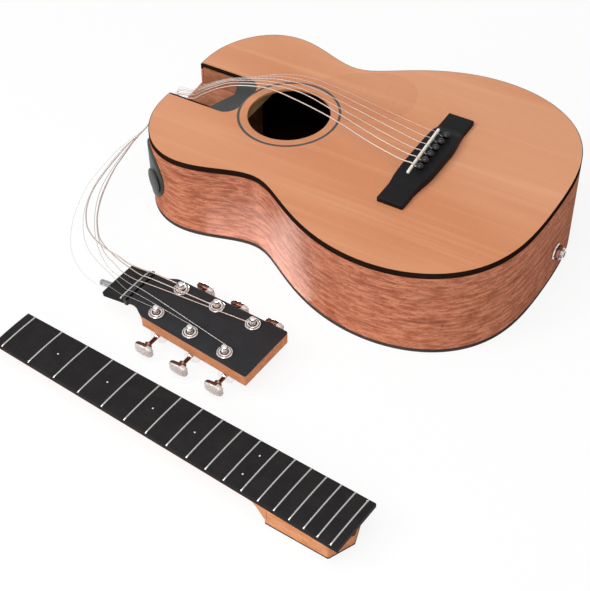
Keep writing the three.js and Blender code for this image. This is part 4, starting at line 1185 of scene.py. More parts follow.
STRINGS = (
    StringLine("low_e", 1.35, 662.4, True, (
        (-21, -70.3, 107), (-21, -67, 109.2), (-21, -56, 108.7), (-17, -22, 110), (-5.5, 25, 110),
        (3, 69.5, 108), (8, 109, 104.5), (3.5, 139, 99), (1.5, 154.5, 92.5), (-1.5, 166.5, 86),
        (-6, 177.5, 79), (-9.5, 186, 72.5), (-15.5, 203, 70), (-20, 211, 55), (-23, 215, 33),
        (-26, 217, 17), (-32, 218.5, 18), (-36, 219, 30), (-38.5, 222, 45.5), (-50, 219, 49),
        (-62, 220.5, 46.5), (-73, 224, 43), (-90, 225.5, 38.5), (-106.5, 226, 34.5), (-124, 225, 31),
        (-140.5, 222, 28), (-156, 215.5, 26), (-168, 207.5, 25), (-178, 198, 24), (-185.5, 185.5, 24),
        (-189.5, 174.5, 24), (-192.5, 161.5, 24), (-194.5, 148, 24.5), (-197.5, 135.5, 25),
        (-201.2, 109.9, 31.1), (-201.5, 105, 32.6), (-203.8, 74, 36.2),
    )),
    StringLine("a", 1.07, 709.1, True, (
        (-10.7, -70.1, 106.8), (-10.7, -66.3, 109), (-10.7, -56, 108.5), (-9, -22.5, 112), (2.5, 30, 113),
        (11, 74, 112), (10, 110.5, 107.5), (6, 140.5, 100), (4.5, 156, 94), (1, 167, 88),
        (-4, 178.5, 81.5), (-8, 187.5, 75), (-14.5, 204, 72.5), (-18, 212, 56), (-21.5, 216.5, 32),
        (-25.5, 219, 16), (-31.5, 220.5, 15.5), (-36, 220.5, 27), (-34, 224.5, 42), (-46, 222, 45),
        (-56.5, 224, 42), (-67, 225, 38), (-82.5, 225, 33), (-96, 225, 28.5), (-113, 222, 24),
        (-128.5, 217.5, 20.5), (-142, 212, 18), (-154.5, 205, 16.5), (-165.5, 196.5, 16),
        (-176, 186.5, 16), (-184, 174, 17.5), (-189.5, 163, 19.5), (-195.5, 149, 22), (-200.5, 135.5, 25),
        (-208.5, 110.3, 31), (-208.8, 105.4, 32.5), (-209.2, 28.8, 36.2),
    )),
    StringLine("d", 0.81, 746.5, True, (
        (-0.4, -70.1, 106.5), (-0.4, -65.6, 108.8), (-0.4, -56, 108.4), (2, -20.5, 111),
        (11.5, 34, 111.5), (17.5, 76, 111), (16, 112, 106.5), (11, 141.5, 99), (7.5, 156.5, 94.5),
        (2, 167.5, 89.5), (-4, 178.5, 83.5), (-8.5, 188, 77.5), (-12.5, 203.5, 73), (-16.5, 209, 57),
        (-20, 213, 32), (-24.5, 215, 15.5), (-31, 216.5, 16), (-36, 217, 32), (-41, 219.5, 48),
        (-53, 216, 52.5), (-66, 216.5, 50.5), (-78, 217, 48), (-95, 216, 44.5), (-109.5, 215, 41),
        (-127, 211.5, 37.5), (-142.5, 207, 34.5), (-155.5, 201, 32.5), (-167.5, 194, 31),
        (-178.5, 185.5, 30), (-188.5, 176, 29), (-196.5, 166, 28.5), (-202, 156.5, 27.5),
        (-205.5, 145, 26), (-208.5, 136, 24.5), (-215.8, 110.8, 30.9), (-216.1, 105.8, 32.4),
        (-210.2, -10.9, 36.2),
    )),
    StringLine("g", 0.61, 747.9, False, (
        (10, -70.3, 106), (10, -65, 108.7), (10, -56, 108.3), (13.5, -19.5, 110), (22.5, 38.5, 109.5),
        (28, 80, 107.5), (23.5, 113, 104.5), (16, 141.5, 97.5), (10, 156.5, 94.5), (3, 168, 90.5),
        (-4.5, 178, 85.5), (-9.5, 188, 80), (-11, 203.5, 75.5), (-14, 209, 59.5), (-18, 211.5, 36),
        (-23.5, 213, 20.5), (-31, 214.5, 21.5), (-36, 215, 37.5), (-45, 216.5, 52), (-57, 213, 56.5),
        (-70, 214, 54.5), (-84, 214, 52.5), (-102.5, 213, 49.5), (-120, 211.5, 46.5),
        (-136.5, 208.5, 43.5), (-152, 203, 41), (-165, 196.5, 39), (-176, 189.5, 37), (-187, 181, 35.5),
        (-196.5, 172, 33.5), (-205.5, 160.5, 31), (-211.5, 150.5, 29), (-215, 141.5, 27),
        (-214.5, 136.5, 24.5), (-223, 111.2, 30.8), (-223.4, 106.3, 32.3), (-244, -8.8, 36.2),
    )),
    StringLine("b", 0.41, 709.1, False, (
        (20.2, -70.3, 105.9), (20.2, -64.3, 108.6), (20.2, -56, 108.2), (23.5, -18.5, 109),
        (33, 42.5, 107.5), (36.5, 83, 105.5), (30.5, 114, 102.5), (20.5, 141, 96), (13, 157, 93.5),
        (5, 168, 90.5), (-3.5, 178.5, 86.5), (-10, 187.5, 82), (-10, 203.5, 77), (-13, 212, 63.5),
        (-16.5, 218.5, 48), (-22.5, 221.5, 37.5), (-30.5, 223, 33), (-36.5, 224, 35),
        (-33.5, 226.5, 40.5), (-43.5, 224, 42.5), (-56, 226.5, 40), (-66.5, 231, 35), (-82.5, 234, 29.5),
        (-100, 234.5, 25), (-118.5, 233, 21.5), (-135.5, 229, 18.5), (-152, 222.5, 16.5),
        (-166.5, 213.5, 15), (-181, 201.5, 15), (-193, 188, 16), (-201.5, 174.5, 18), (-208.5, 160, 20),
        (-214.5, 146, 22.5), (-219, 136.5, 24.5), (-230.3, 111.6, 30.7), (-230.6, 106.7, 32.2),
        (-240.2, 30.7, 36.2),
    )),
    StringLine("high_e", 0.305, 663.5, False, (
        (30.6, -70.3, 105.9), (30.6, -63.6, 108.5), (30.6, -56, 108.2), (35, -16.5, 107), (43.5, 46, 105),
        (45, 86, 103.5), (37, 114.5, 100.5), (25.5, 140.5, 94.5), (15.5, 157, 93), (6, 168, 91),
        (-3.5, 178.5, 88), (-11, 187, 84.5), (-9, 203.5, 79), (-11, 208, 67), (-15, 211, 56.5),
        (-22, 210.5, 50), (-30, 212.5, 49.5), (-36, 213, 54.5), (-52, 211, 59.5), (-61.5, 209, 61.5),
        (-73, 213, 58.5), (-85.5, 218, 54.5), (-102.5, 221.5, 50), (-121.5, 223, 45.5), (-142, 222.5, 41),
        (-162.5, 218, 36.5), (-181.5, 211.5, 32), (-198.5, 202, 28), (-211.5, 191.5, 25),
        (-221.5, 178.5, 23.5), (-229, 163.5, 23), (-232.5, 152, 23.5), (-234, 141.5, 24),
        (-231, 137.5, 24.5), (-237.6, 112.1, 30.6), (-237.9, 107.2, 32.2), (-239.8, 74.5, 36.2),
    )),
)

# Bass row: low E, A and D; treble row from the nut: high E, B and G
WOUND_ON = (0, 1, 2, 5, 4, 3)


def curve_through(points: Array, steps: int) -> Array:
    """Smooth curve through points: the centripetal spline, steps points to a span.

    Between b and c, with neighbours a and d and knot steps |ab|^1/2, |bc|^1/2, |cd|^1/2,
    the tangents are those of the uneven Catmull-Rom spline and the span is their cubic.

    Args:
        points: Points to pass, of shape (n, 3).
        steps: Points to a span.

    Returns:
        Points of the curve, the last one at its end.
    """
    ends = np.vstack([2 * points[0] - points[1], points, 2 * points[-1] - points[-2]])
    a, b, c, d = ends[:-3], ends[1:-2], ends[2:-1], ends[3:]
    k0, k1, k2 = (np.sqrt(np.linalg.norm(q - p, axis=1))[:, None] for p, q in ((a, b), (b, c), (c, d)))
    t1 = ((b - a) / k0 - (c - a) / (k0 + k1) + (c - b) / k1) * k1
    t2 = ((c - b) / k1 - (d - b) / (k1 + k2) + (d - c) / k2) * k1
    t = (np.arange(steps) / steps)[None, :, None]
    b, c, t1, t2 = (item[:, None] for item in (b, c, t1, t2))
    span = (2 * b - 2 * c + t1 + t2) * t**3 + (3 * c - 3 * b - 2 * t1 - t2) * t**2 + t1 * t + b
    return np.vstack([span.reshape(-1, 3), points[-1:]])


@dataclass
class StringSet(Assembly):
    """The six loose strings, each a tube along its own points."""

    steps: int = 7
    sides: int = 12

    def build(self) -> None:
        for line in STRINGS:
            path = curve_through(metres(line.points), self.steps)
            shape = Shape().rings(tube(path / MM, line.diameter / 2.0, self.sides))
            finish, slot = self.string_finish(line)
            piece = shape.make(f"cord_{line.name}", [finish], slot, replaces=[f"string_{line.name}"])


# Body


@dataclass(frozen=True)
class Outline:
    """Body outline in polar form about a centre, the same on both sides."""

    length: float = 405.7
    centre_y: float = 64.5
    shares: tuple[float, ...] = (
        0.4016, -0.135, 0.1401, -0.0375, -0.0337, 0.0093, -0.0068, 0.002, -0.001, 0.0004, -0.0022,
    )
    depth_at_neck: float = 85.5
    depth_at_tail: float = 102.9

    def top(self, y: Array | float) -> Array | float:
        """Height of the top's face, straight from tail to neck end."""
        middle = (self.depth_at_neck + self.depth_at_tail) / 2.0
        return middle + (self.depth_at_neck - self.depth_at_tail) * y / self.length

    def point(self, angle: Array, inset: Array | float = 0.0) -> Array:
        """Plan points r (sin a, cos a) with r = L sum share_k cos k a, moved inward.

        Args:
            angle: Bearings from the neck end.
            inset: Distance inward.

        Returns:
            Points of shape (..., 2).
        """
        order = np.arange(len(self.shares))

        def at(a: Array) -> Array:
            """Point before the inset, from the outline's centre."""
            radius = self.length * (np.array(self.shares) * np.cos(a[..., None] * order)).sum(-1)
            return radius[..., None] * np.stack([np.sin(a), np.cos(a)], -1)

        tangent = at(angle + 1e-3) - at(angle - 1e-3)
        tangent /= np.linalg.norm(tangent, axis=-1, keepdims=True)
        here = at(angle)
        x = here[..., 0] + tangent[..., 1] * inset
        return np.stack([x, self.centre_y + here[..., 1] - tangent[..., 0] * inset], -1)

    def spaced(self, start: float, stop: float, count: int) -> Array:
        """Angles between two that part the outline evenly.

        Args:
            start: First angle.
            stop: Last angle.
            count: How many.

        Returns:
            The angles.
        """
        fine = np.linspace(start, stop, 4000)
        path = np.linalg.norm(np.diff(self.point(fine), axis=0), axis=1)
        run = np.concatenate([[0.0], np.cumsum(path)])
        return np.interp(np.linspace(0.0, run[-1], count), run, fine)

    def angle_at_x(self, x: float, inset: float = 0.0) -> float:
        """Angle near the neck end where the inset outline reaches an x."""
        fine = np.linspace(0.0, 0.6, 2000)
        return float(np.interp(x, self.point(fine, inset)[:, 0], fine))

    def run_frame(self, start: float, offsets: Array) -> tuple[Array, Array]:
        """Points and outward directions at path offsets from an angle on the bass rim.

        Args:
            start: Degrees from the neck end.
            offsets: Lengths along the path.

        Returns:
            The points and the directions.
        """
        middle = 2.0 * np.pi - np.radians(start)
        fine = np.linspace(middle - 0.6, middle + 0.6, 3000)
        steps = np.linalg.norm(np.diff(self.point(fine), axis=0), axis=1)
        run = np.concatenate([[0.0], np.cumsum(steps)])
        run -= np.interp(middle, fine, run)
        angle = np.interp(offsets, run, fine)
        at = self.point(angle)
        return at, (self.point(angle, -1.0) - at)


OUTLINE = Outline()


@dataclass
class BodyShell(Assembly):
    """Top with its inlay and guard, bindings, rims, back, and what is held inside.

    A guard share is a bearing in radians and a part of the guard's reach.
    """

    seam: float = 0.3
    board: float = 3.0
    back: float = 2.5
    rim: float = 2.2
    binding: float = 2.0
    lip: float = 0.7
    top_band: float = 6.0
    back_band: float = 4.5
    hole_y: float = 80.0
    hole_radius: float = 40.4
    ring_radius: float = 49.5
    ring_width: float = 2.6
    pocket_half: float = 27.0
    pocket_depth: float = 23.5
    pocket_shoulder: float = 154.4
    mouth_half: float = 29.3
    mouth_low: float = 128.9
    mouth_corner: float = 15.3
    mouth_turns: Triple = (20.0, 40.0, 48.0)
    hole_edge: float = 0.6
    band_edge: float = 0.5
    back_edge: float = 0.15
    ring_depth: float = 1.1
    ring_rise: float = 0.05
    guard_top: float = 0.5
    guard_edge: float = 0.25
    guard_reach: float = 129.0
    guard_span: Pair = (-78.0, 8.0)
    guard_shares: tuple[Pair, ...] = (
        (-1.09, 0.86), (-0.94, 0.95), (-0.79, 1.0), (-0.63, 0.985), (-0.49, 0.9), (-0.23, 0.66),
        (-0.05, 0.51),
    )

    def build(self, frame: dict) -> None:
        """Makes the shell's pieces and dresses the nodes kept inside it.

        Args:
            frame: The loaded part.
        """
        self._top()
        self._rosette()
        self._guard()
        self._bindings()
        self._rims()
        self._back()
        # Linings and braces take the dark inner finish: painted shade.
        for node in ("top_lining_treble", "top_lining_bass", "x_brace", "bridge_plate", "back_braces"):
            dress(frame, node, self.finishes.inside)
        for node in ("tail_block", "neck_block"):
            dress(frame, node, self.finishes.block)
        dress(frame, "pocket_plate", self.finishes.plastic)

    def _top(self) -> None:
        """Board between its notched outer edge and the soundhole.

        Each outer point is joined to one on the hole. Along the mouth the hole's angle
        runs ahead of the outer one, so that no line crosses the mouth. The section is a
        list of shares of the way from the outer edge to the hole, what the hole is wider
        by there, and how far below the face it lies.
        """
        floor_steps, arc_steps, side_steps, rim_steps = 8, 14, 8, 150
        inset = self.lip + JOINT
        start = OUTLINE.angle_at_x(self.mouth_half, inset)
        corner = self.mouth_half - self.mouth_corner
        centre_y = self.mouth_low + self.mouth_corner
        turn = np.linspace(-np.pi / 2, 0.0, arc_steps)
        arc = self.mouth_corner * np.stack([np.cos(turn), np.sin(turn)], -1) + [corner, centre_y]
        rim = OUTLINE.point(OUTLINE.spaced(start, np.pi, rim_steps), inset)
        floor_x = np.linspace(0.0, corner, floor_steps)[:-1]
        floor = np.stack([floor_x, np.full(len(floor_x), self.mouth_low)], -1)
        side_y = np.linspace(centre_y, rim[0, 1], side_steps + 2)[1:-1]
        side = np.stack([np.full(side_steps, self.mouth_half), side_y], -1)
        half = np.concatenate([floor, arc, side, rim])
        floor_turn, arc_turn, rim_turn = self.mouth_turns
        bearing = np.degrees(np.arctan2(rim[:, 0], rim[:, 1] - self.hole_y))
        out = rim_turn + (180.0 - rim_turn) * (bearing - bearing[0]) / (180.0 - bearing[0])
        along_floor = np.linspace(0.0, floor_turn, floor_steps)[:-1]
        along_arc = np.linspace(floor_turn, arc_turn, arc_steps)
        along_side = np.linspace(arc_turn + 1.0, rim_turn - 1.0, side_steps)
        ahead = np.concatenate([along_floor, along_arc, along_side, out])
        outer = np.concatenate([half, (half * [-1, 1])[-2:0:-1]])
        angle = np.radians(np.concatenate([ahead, (360.0 - ahead)[-2:0:-1]]))
        unit = np.stack([np.sin(angle), np.cos(angle)], -1)
        soft = self.hole_edge
        section = [(0.0, 0.0, self.board), (0.0, 0.0, 0.0), (0.4, 0.0, 0.0), (0.8, 0.0, 0.0)]
        section += [(1.0, soft, 0.0), (1.0, soft * 0.3, soft * 0.3), (1.0, 0.0, soft)]
        section += [(1.0, 0.0, self.board)]
        rings = []
        for share, wider, drop in section:
            inner = unit * (self.hole_radius + wider) + [0.0, self.hole_y]
            flat = outer * (1 - share) + inner * share
            rings.append(np.column_stack([flat, OUTLINE.top(flat[:, 1]) - drop]))
        shape = Shape().rings(np.array(rings).transpose(1, 0, 2), closed=True)
        shape.make("cedar_board", [self.finishes.cedar], Slot.CEDAR, replaces=["soundboard"])

    def _rosette(self) -> None:
        """Open ring let into the top, its ends cut along the mouth's edge.

        At radius r it stops where r sin a = mouth - centre.
        """
        low, high = self.ring_radius - self.ring_width / 2, self.ring_radius + self.ring_width / 2
        soft, rise, lower = 0.1, self.ring_rise, 0.4 * self.ring_rise
        section = [(low, -self.ring_depth), (low, lower), (low + soft, rise)]
        section = np.array([*section, (high - soft, rise), (high, lower), (high, -self.ring_depth)])
        reach = np.arcsin(np.minimum(0.9999, (self.mouth_low - 0.1 - self.hole_y) / section[:, 0]))
        share = np.linspace(0.0, 1.0, 180)[:, None]
        start, stop = np.pi - reach[None], 2.0 * np.pi + reach[None]
        angle = start + (stop - start) * share
        x, y = section[:, 0] * np.cos(angle), self.hole_y + section[:, 0] * np.sin(angle)
        rings = np.stack([x, y, OUTLINE.top(y) + section[:, 1]], -1)
        inlay = RingInlay(self.hole_y, self.ring_radius).make()
        Shape().rings(rings).make("rosette_ring", [inlay], Slot.BINDING, replaces=["rosette"])

    def _guard(self) -> None:
        """Film along the rosette whose outer edge is a smooth curve through given shares."""
        inner = self.ring_radius + self.ring_width / 2 + self.seam
        angle = np.radians(np.linspace(*self.guard_span, 60))
        arc = inner * np.stack([np.cos(angle), np.sin(angle)], -1)
        chosen = np.array(self.guard_shares)
        far = self.guard_reach * chosen[:, 1:] * np.stack([np.cos(chosen[:, 0]), np.sin(chosen[:, 0])], -1)
        points = np.vstack([arc[-1:], far[::-1], arc[:1]])
        edge = curve_through(np.column_stack([points, np.zeros(len(points))]), 12)[1:-1, :2]
        loop = np.vstack([arc, edge]) + [0.0, self.hole_y]
        rings = plate(loop, JOINT, self.guard_top, 0.0, self.guard_edge, OUTLINE.top, 3)
        Shape().rings(rings).make("guard_film", [self.finishes.guard], Slot.GUARD, replaces=["pickguard"])

    def _bindings(self) -> None:
        """Bands round the two edges, rounded outside, and the pocket's edge strips."""
        bend = np.linspace(0.0, np.pi / 2, 5)
        soft = self.band_edge
        curve = [(soft * (1 - np.cos(a)), soft * (1 - np.sin(a))) for a in bend]
        under = self.board + 0.1
        inner = [(self.lip, 0.0), (self.lip, under), (self.binding, under), (self.binding, self.top_band)]
        section = np.array([(0.0, self.top_band), *curve, *inner])
        start = OUTLINE.angle_at_x(self.pocket_half)
        angle = OUTLINE.spaced(start, 2 * np.pi - start, 360)
        flat = OUTLINE.point(angle[:, None], section[None, :, 0])
        rings = np.concatenate([flat, (OUTLINE.top(flat[..., 1]) - section[:, 1])[..., None]], -1)
        shape = Shape().rings(rings)
        for side in (-1.0, 1.0):
            ends = sorted([side * self.pocket_half, side * (self.pocket_half + self.binding)])
            far = OUTLINE.point(np.array([start]), self.binding)[0, 1]
            box = np.array([[ends[0], self.pocket_shoulder + 0.3], [ends[1], self.pocket_shoulder + 0.3]])
            loop = np.vstack([box, [[ends[1], far], [ends[0], far + 0.4]]])
            shape.rings(plate(loop, -self.board, 0.0, 0.0, 0.25, OUTLINE.top, 2))
        shape.make("band_top", [self.finishes.binding], Slot.BINDING, replaces=["top_binding"])
        inner = [(self.binding, 0.0), (self.binding, self.back_band)]
        section = np.array([(0.0, self.back_band), *curve, *inner])
        angle = OUTLINE.spaced(0.0, 2 * np.pi, 361)[:-1]
        flat = OUTLINE.point(angle[:, None], section[None, :, 0])
        height = np.broadcast_to(section[:, 1][None, :, None], (*flat.shape[:2], 1))
        rings = np.concatenate([flat, height], -1)
        band = Shape().rings(rings, closed=True)
        band.make("band_back", [self.finishes.low_binding], Slot.BINDING, replaces=["back_binding"])

    def _rims(self) -> None:
        """Two bent sides; within the pocket's width their upper edge drops to its floor.

        The faces go by fours along the rim, and the third of them is the inner one, which takes the dark
        inner finish of painted shade.
        """
        gap, step, pocket_steps, rim_steps = self.seam / OUTLINE.length, 1e-4, 12, 220
        edge = OUTLINE.angle_at_x(self.pocket_half)
        pocket = np.linspace(gap, edge - step, pocket_steps)
        beyond = OUTLINE.spaced(edge + step, np.pi - gap, rim_steps)
        for name, flip in (("treble", False), ("bass", True)):
            angle = np.concatenate([pocket, beyond])
            in_pocket = np.arange(len(angle)) < pocket_steps
            drop = np.where(in_pocket, self.pocket_depth, self.top_band + NEST)
            angle = 2 * np.pi - angle if flip else angle
            outer, inner = OUTLINE.point(angle), OUTLINE.point(angle, self.rim)
            low = np.full(len(angle), self.back_band + NEST)
            corners = []
            for flat, height in ((outer, low), (outer, None), (inner, None), (inner, low)):
                z = OUTLINE.top(outer[:, 1]) - drop if height is None else height
                corners.append(np.column_stack([flat, z]))
            rings = np.array(corners).transpose(1, 0, 2)
            shape = Shape().rings(rings)
            shape.marks[: 4 * (len(angle) - 1)] = [0, 0, 1, 0] * (len(angle) - 1)
            finish = [self.finishes.side, self.finishes.inside]
            shape.make(f"side_{name}", finish, Slot.MAHOGANY, replaces=[f"rim_{name}"])

    def _back(self) -> None:
        """Flat back inside its band; its last face looks into the body and takes the dark inner finish,
        painted shade.
        """
        loop = OUTLINE.point(OUTLINE.spaced(2 * np.pi, 0.0, 361)[:-1], self.binding + JOINT)
        rings = plate(loop, NEST, self.back, self.back_edge, 0.0)
        shape = Shape().rings(rings)
        shape.marks[-1] = 1
        shape.make("back_board", [self.finishes.back, self.finishes.inside], Slot.MAHOGANY, replaces=["back"])


@dataclass
class Bridge(Assembly):
    """Belly bridge with its saddle and six ball-headed pins."""

    half: float = 70.5
    neck_y: float = -57.3
    tail_y: float = -84.3
    neck_bulge: float = 1.5
    tail_bulge: float = 3.7
    belly_half: float = 35.0
    blend: float = 14.0
    lens_half: float = 18.0
    lens_blend: float = 32.0
    wing: float = 5.0
    belly: float = 8.0
    edge: float = 1.3
    saddle_at: Pair = (3.3, -65.4)
    saddle_length: float = 70.0
    saddle_width: float = 3.0
    saddle_rise: float = 3.0
    saddle_fall: float = 0.5
    saddle_sink: float = 2.5
    saddle_end: float = 1.2
    saddle_yaw: float = 3.8
    pin_x: float = 4.8
    pin_spacing: float = 10.3
    pin_y: float = -74.6
    pin_ball: float = 3.6
    pin_collar: float = 3.2
    pin_shank: float = 2.5
    pin_length: float = 17.0
    pin_lift: float = 0.1

    def build(self) -> None:
        """Makes the bridge, the saddle and the pins."""
        x, shrink = end_stations(-self.half, self.half, self.edge, 120)
        share = eased((self.belly_half + self.blend - np.abs(x)) / self.blend)
        lens = eased((self.lens_half + self.lens_blend - np.abs(x)) / self.lens_blend)
        y0 = self.tail_y - self.tail_bulge * lens + shrink
        y1 = self.neck_y + self.neck_bulge * lens - shrink
        height = self.wing + (self.belly - self.wing) * share - shrink
        rings = bar(x, y0, y1, JOINT, height, self.edge, 0.0, 5, 15)
        rings[..., 2] += OUTLINE.top(rings[..., 1])
        shape, finish = Shape().rings(rings), [self.finishes.bridge]
        shape.make("belly_bridge", finish, Slot.EBONY, replaces=["bridge"], crease=50.0)
        self._saddle()
        for number in range(6):
            self._pin(number)

    def _saddle(self) -> None:
        """Bar with a rounded crest that is highest in the middle."""
        half = self.saddle_length / 2
        x, shrink = end_stations(-half, half, self.saddle_end, 60)
        crest = self.saddle_rise - self.saddle_fall * (x / half) ** 2 - shrink
        width = self.saddle_width / 2 - shrink * 0.9
        rings = bar(x, -width, width, -self.saddle_sink, crest, 1.0, 0.35, 5, 3)
        z = float(OUTLINE.top(self.saddle_at[1])) + self.belly
        place = Place((*self.saddle_at, z), self.saddle_yaw)
        shape = Shape().rings(rings, place=place)
        shape.make("saddle_bar", [self.finishes.bone], Slot.BONE, replaces=["saddle"])

    def _pin(self, number: int) -> None:
        """Tapered shank, collar and ball head, turned about an upright axis.

        Args:
            number: Which pin, counted from the bass side and from 0.
        """
        x = self.pin_x + (number - 2.5) * self.pin_spacing
        z = float(OUTLINE.top(self.pin_y)) + self.belly + self.pin_lift
        rise = self.pin_ball * 0.8
        bend = np.radians(np.linspace(-38.0, 90.0, 16))
        ball = [(self.pin_ball * np.cos(a), rise + self.pin_ball * np.sin(a)) for a in bend]
        shank = [(0.0, -self.pin_length), (self.pin_shank * 0.8, -self.pin_length), (self.pin_shank, -0.4)]
        collar = [(self.pin_collar, 0.0), (self.pin_collar + 0.15, 0.25), (self.pin_collar, 0.55)]
        shape = Shape().rings(lathe(shank + collar + ball, 36), place=Place((x, self.pin_y, z)))
        name = f"pin_{number + 1}"
        shape.make(name, [self.finishes.gloss], Slot.PLASTIC, replaces=[f"bridge_{name}"])


@dataclass
class SidePanel(Assembly):
    """Round black panel on the bass shoulder with its low ribbed knob."""

    angle: float = 39.5
    height: float = 47.0
    radius: float = 29.0
    thickness: float = 2.2
    knob_angle: float = 45.0
    knob_height: float = 43.0
    knob_radius: float = 13.0
    knob_rise: float = 2.2
    knob_spigot: float = 3.0
    ribs: int = 40
    rib_depth: float = 0.012
    seam: float = 0.3

    def build(self) -> None:
        """Makes the panel on the bent rim, and the knob over it."""
        self._panel()
        self._knob()

    def _panel(self) -> None:
        """Disc bent with the rim; its profile is a share of the radius and a height."""
        face = self.thickness
        profile = [(0.0, face), (0.8, face), (0.955, face - 0.05), (0.985, face - 0.4)]
        profile = np.array([*profile, (1.0, face - 0.9), (1.0, JOINT), (0.0, JOINT)])
        turn = np.linspace(0.0, 2 * np.pi, 96, endpoint=False)
        reach = profile[:, 0][:, None] * self.radius
        flat, outward = OUTLINE.run_frame(self.angle, reach * np.cos(turn))
        lifted = flat + outward * profile[:, 1][:, None, None]
        rings = np.concatenate([lifted, (self.height + reach * np.sin(turn))[..., None]], -1)
        shape = Shape().rings(rings)
        shape.make("side_panel", [self.finishes.plastic], Slot.PLASTIC, replaces=["preamp_panel"])

    def _knob(self) -> None:
        """Low domed knob on a spigot, its rim drawn in by r (1 - d sin^2(n a / 2))."""
        at, outward = OUTLINE.run_frame(self.knob_angle, np.zeros(1))
        lift = self.thickness + self.seam * 2
        origin = [*(at[0] + outward[0] * lift), self.knob_height]
        rise, radius, spigot, sides = self.knob_rise, self.knob_radius, self.knob_spigot, 240
        profile = [(0.0, -0.28), (spigot, -0.28), (spigot, 0.0), (radius - 0.3, 0.0), (radius, 0.3)]
        rim = [(radius, rise * 0.3), (radius * 0.97, rise * 0.48), (radius * 0.9, rise * 0.66)]
        dome = [(radius * 0.76, rise * 0.83), (radius * 0.55, rise * 0.93), (radius * 0.3, rise * 0.985)]
        rings = lathe([*profile, *rim, *dome, (0.0, rise)], sides)
        angle = np.linspace(0.0, 2 * np.pi, sides, endpoint=False)
        rib = 1.0 - self.rib_depth * (0.5 - 0.5 * np.cos(self.ribs * angle))
        rings[4:8, :, :2] *= rib[None, :, None]
        knob = Shape().rings(aimed(rings, origin, [*outward[0], 0.0]))
        body = Body.PREAMP_KNOB.value
        knob.make("volume_knob", [self.finishes.plastic], Slot.PLASTIC, body, ["preamp_knob"])


@dataclass
class OutputJack(Assembly):
    """Chrome jack in the tail: flange, six-sided nut, threaded barrel and a bore with a black floor of
    painted shade.
    """

    x: float = 13.0
    z: float = 38.0
    barrel: float = 5.8
    bore: float = 3.2
    flange: float = 8.0
    flange_thickness: float = 2.4
    nut: float = 6.6
    nut_length: float = 4.5
    tip: float = 3.0
    threads: int = 6
    thread_depth: float = 0.45
    inside: float = 28.0
    taper: float = 6.0
    floor: float = 0.5

    def build(self) -> None:
        """Turns the jack about a line that runs out through the tail."""
        tail = float(OUTLINE.point(np.array([np.pi]))[0, 1])
        barrel, bore, flange, face = self.barrel, self.bore, self.flange, self.flange_thickness
        nut_end = face + self.nut_length
        end, back, crest = nut_end + self.tip, -self.inside, barrel - 0.3
        thread = []
        for turn in range(self.threads):
            height = nut_end + self.tip * turn / self.threads
            root = (crest - self.thread_depth, height + self.tip / (2 * self.threads))
            thread += [(crest, height), root]
        profile = [(0.0, back), (crest, back), (barrel, back + self.taper), (barrel, 0.1)]
        profile += [(flange - 0.4, 0.1), (flange, 0.5), (flange, face - 0.8), (flange - 0.9, face)]
        profile += [(crest, face), *thread, (barrel - 0.5, end), (bore + 0.3, end)]
        profile += [(bore, end - 0.3), (bore, self.floor), (0.0, self.floor)]
        origin, out = (self.x, tail, self.z), (0.0, -1.0, 0.0)
        shape = Shape().rings(aimed(lathe(profile, 48), origin, out))
        hexagon = circle(self.nut / np.cos(np.pi / 6), 6)
        ring = plate(hexagon, face, nut_end, 0.0, 0.5)
        # The nut takes the painted brown chrome, darker than the flange.
        shape.rings(aimed(ring, origin, out), mark=2)
        # Black disc at the bottom of the bore: painted shade.
        low, high, wide = self.floor + 0.05, self.floor + 0.4, bore - 0.05
        inner = lathe([(0.0, low), (wide, low), (wide, high), (0.0, high)], 24)
        shape.rings(aimed(inner, origin, out), mark=1)
        finish = [self.finishes.chrome, self.finishes.shadow, self.finishes.shade_and_reflection_chrome]
        shape.make("tail_jack", finish, Slot.CHROME, replaces=["output_jack"])


# Neck piece


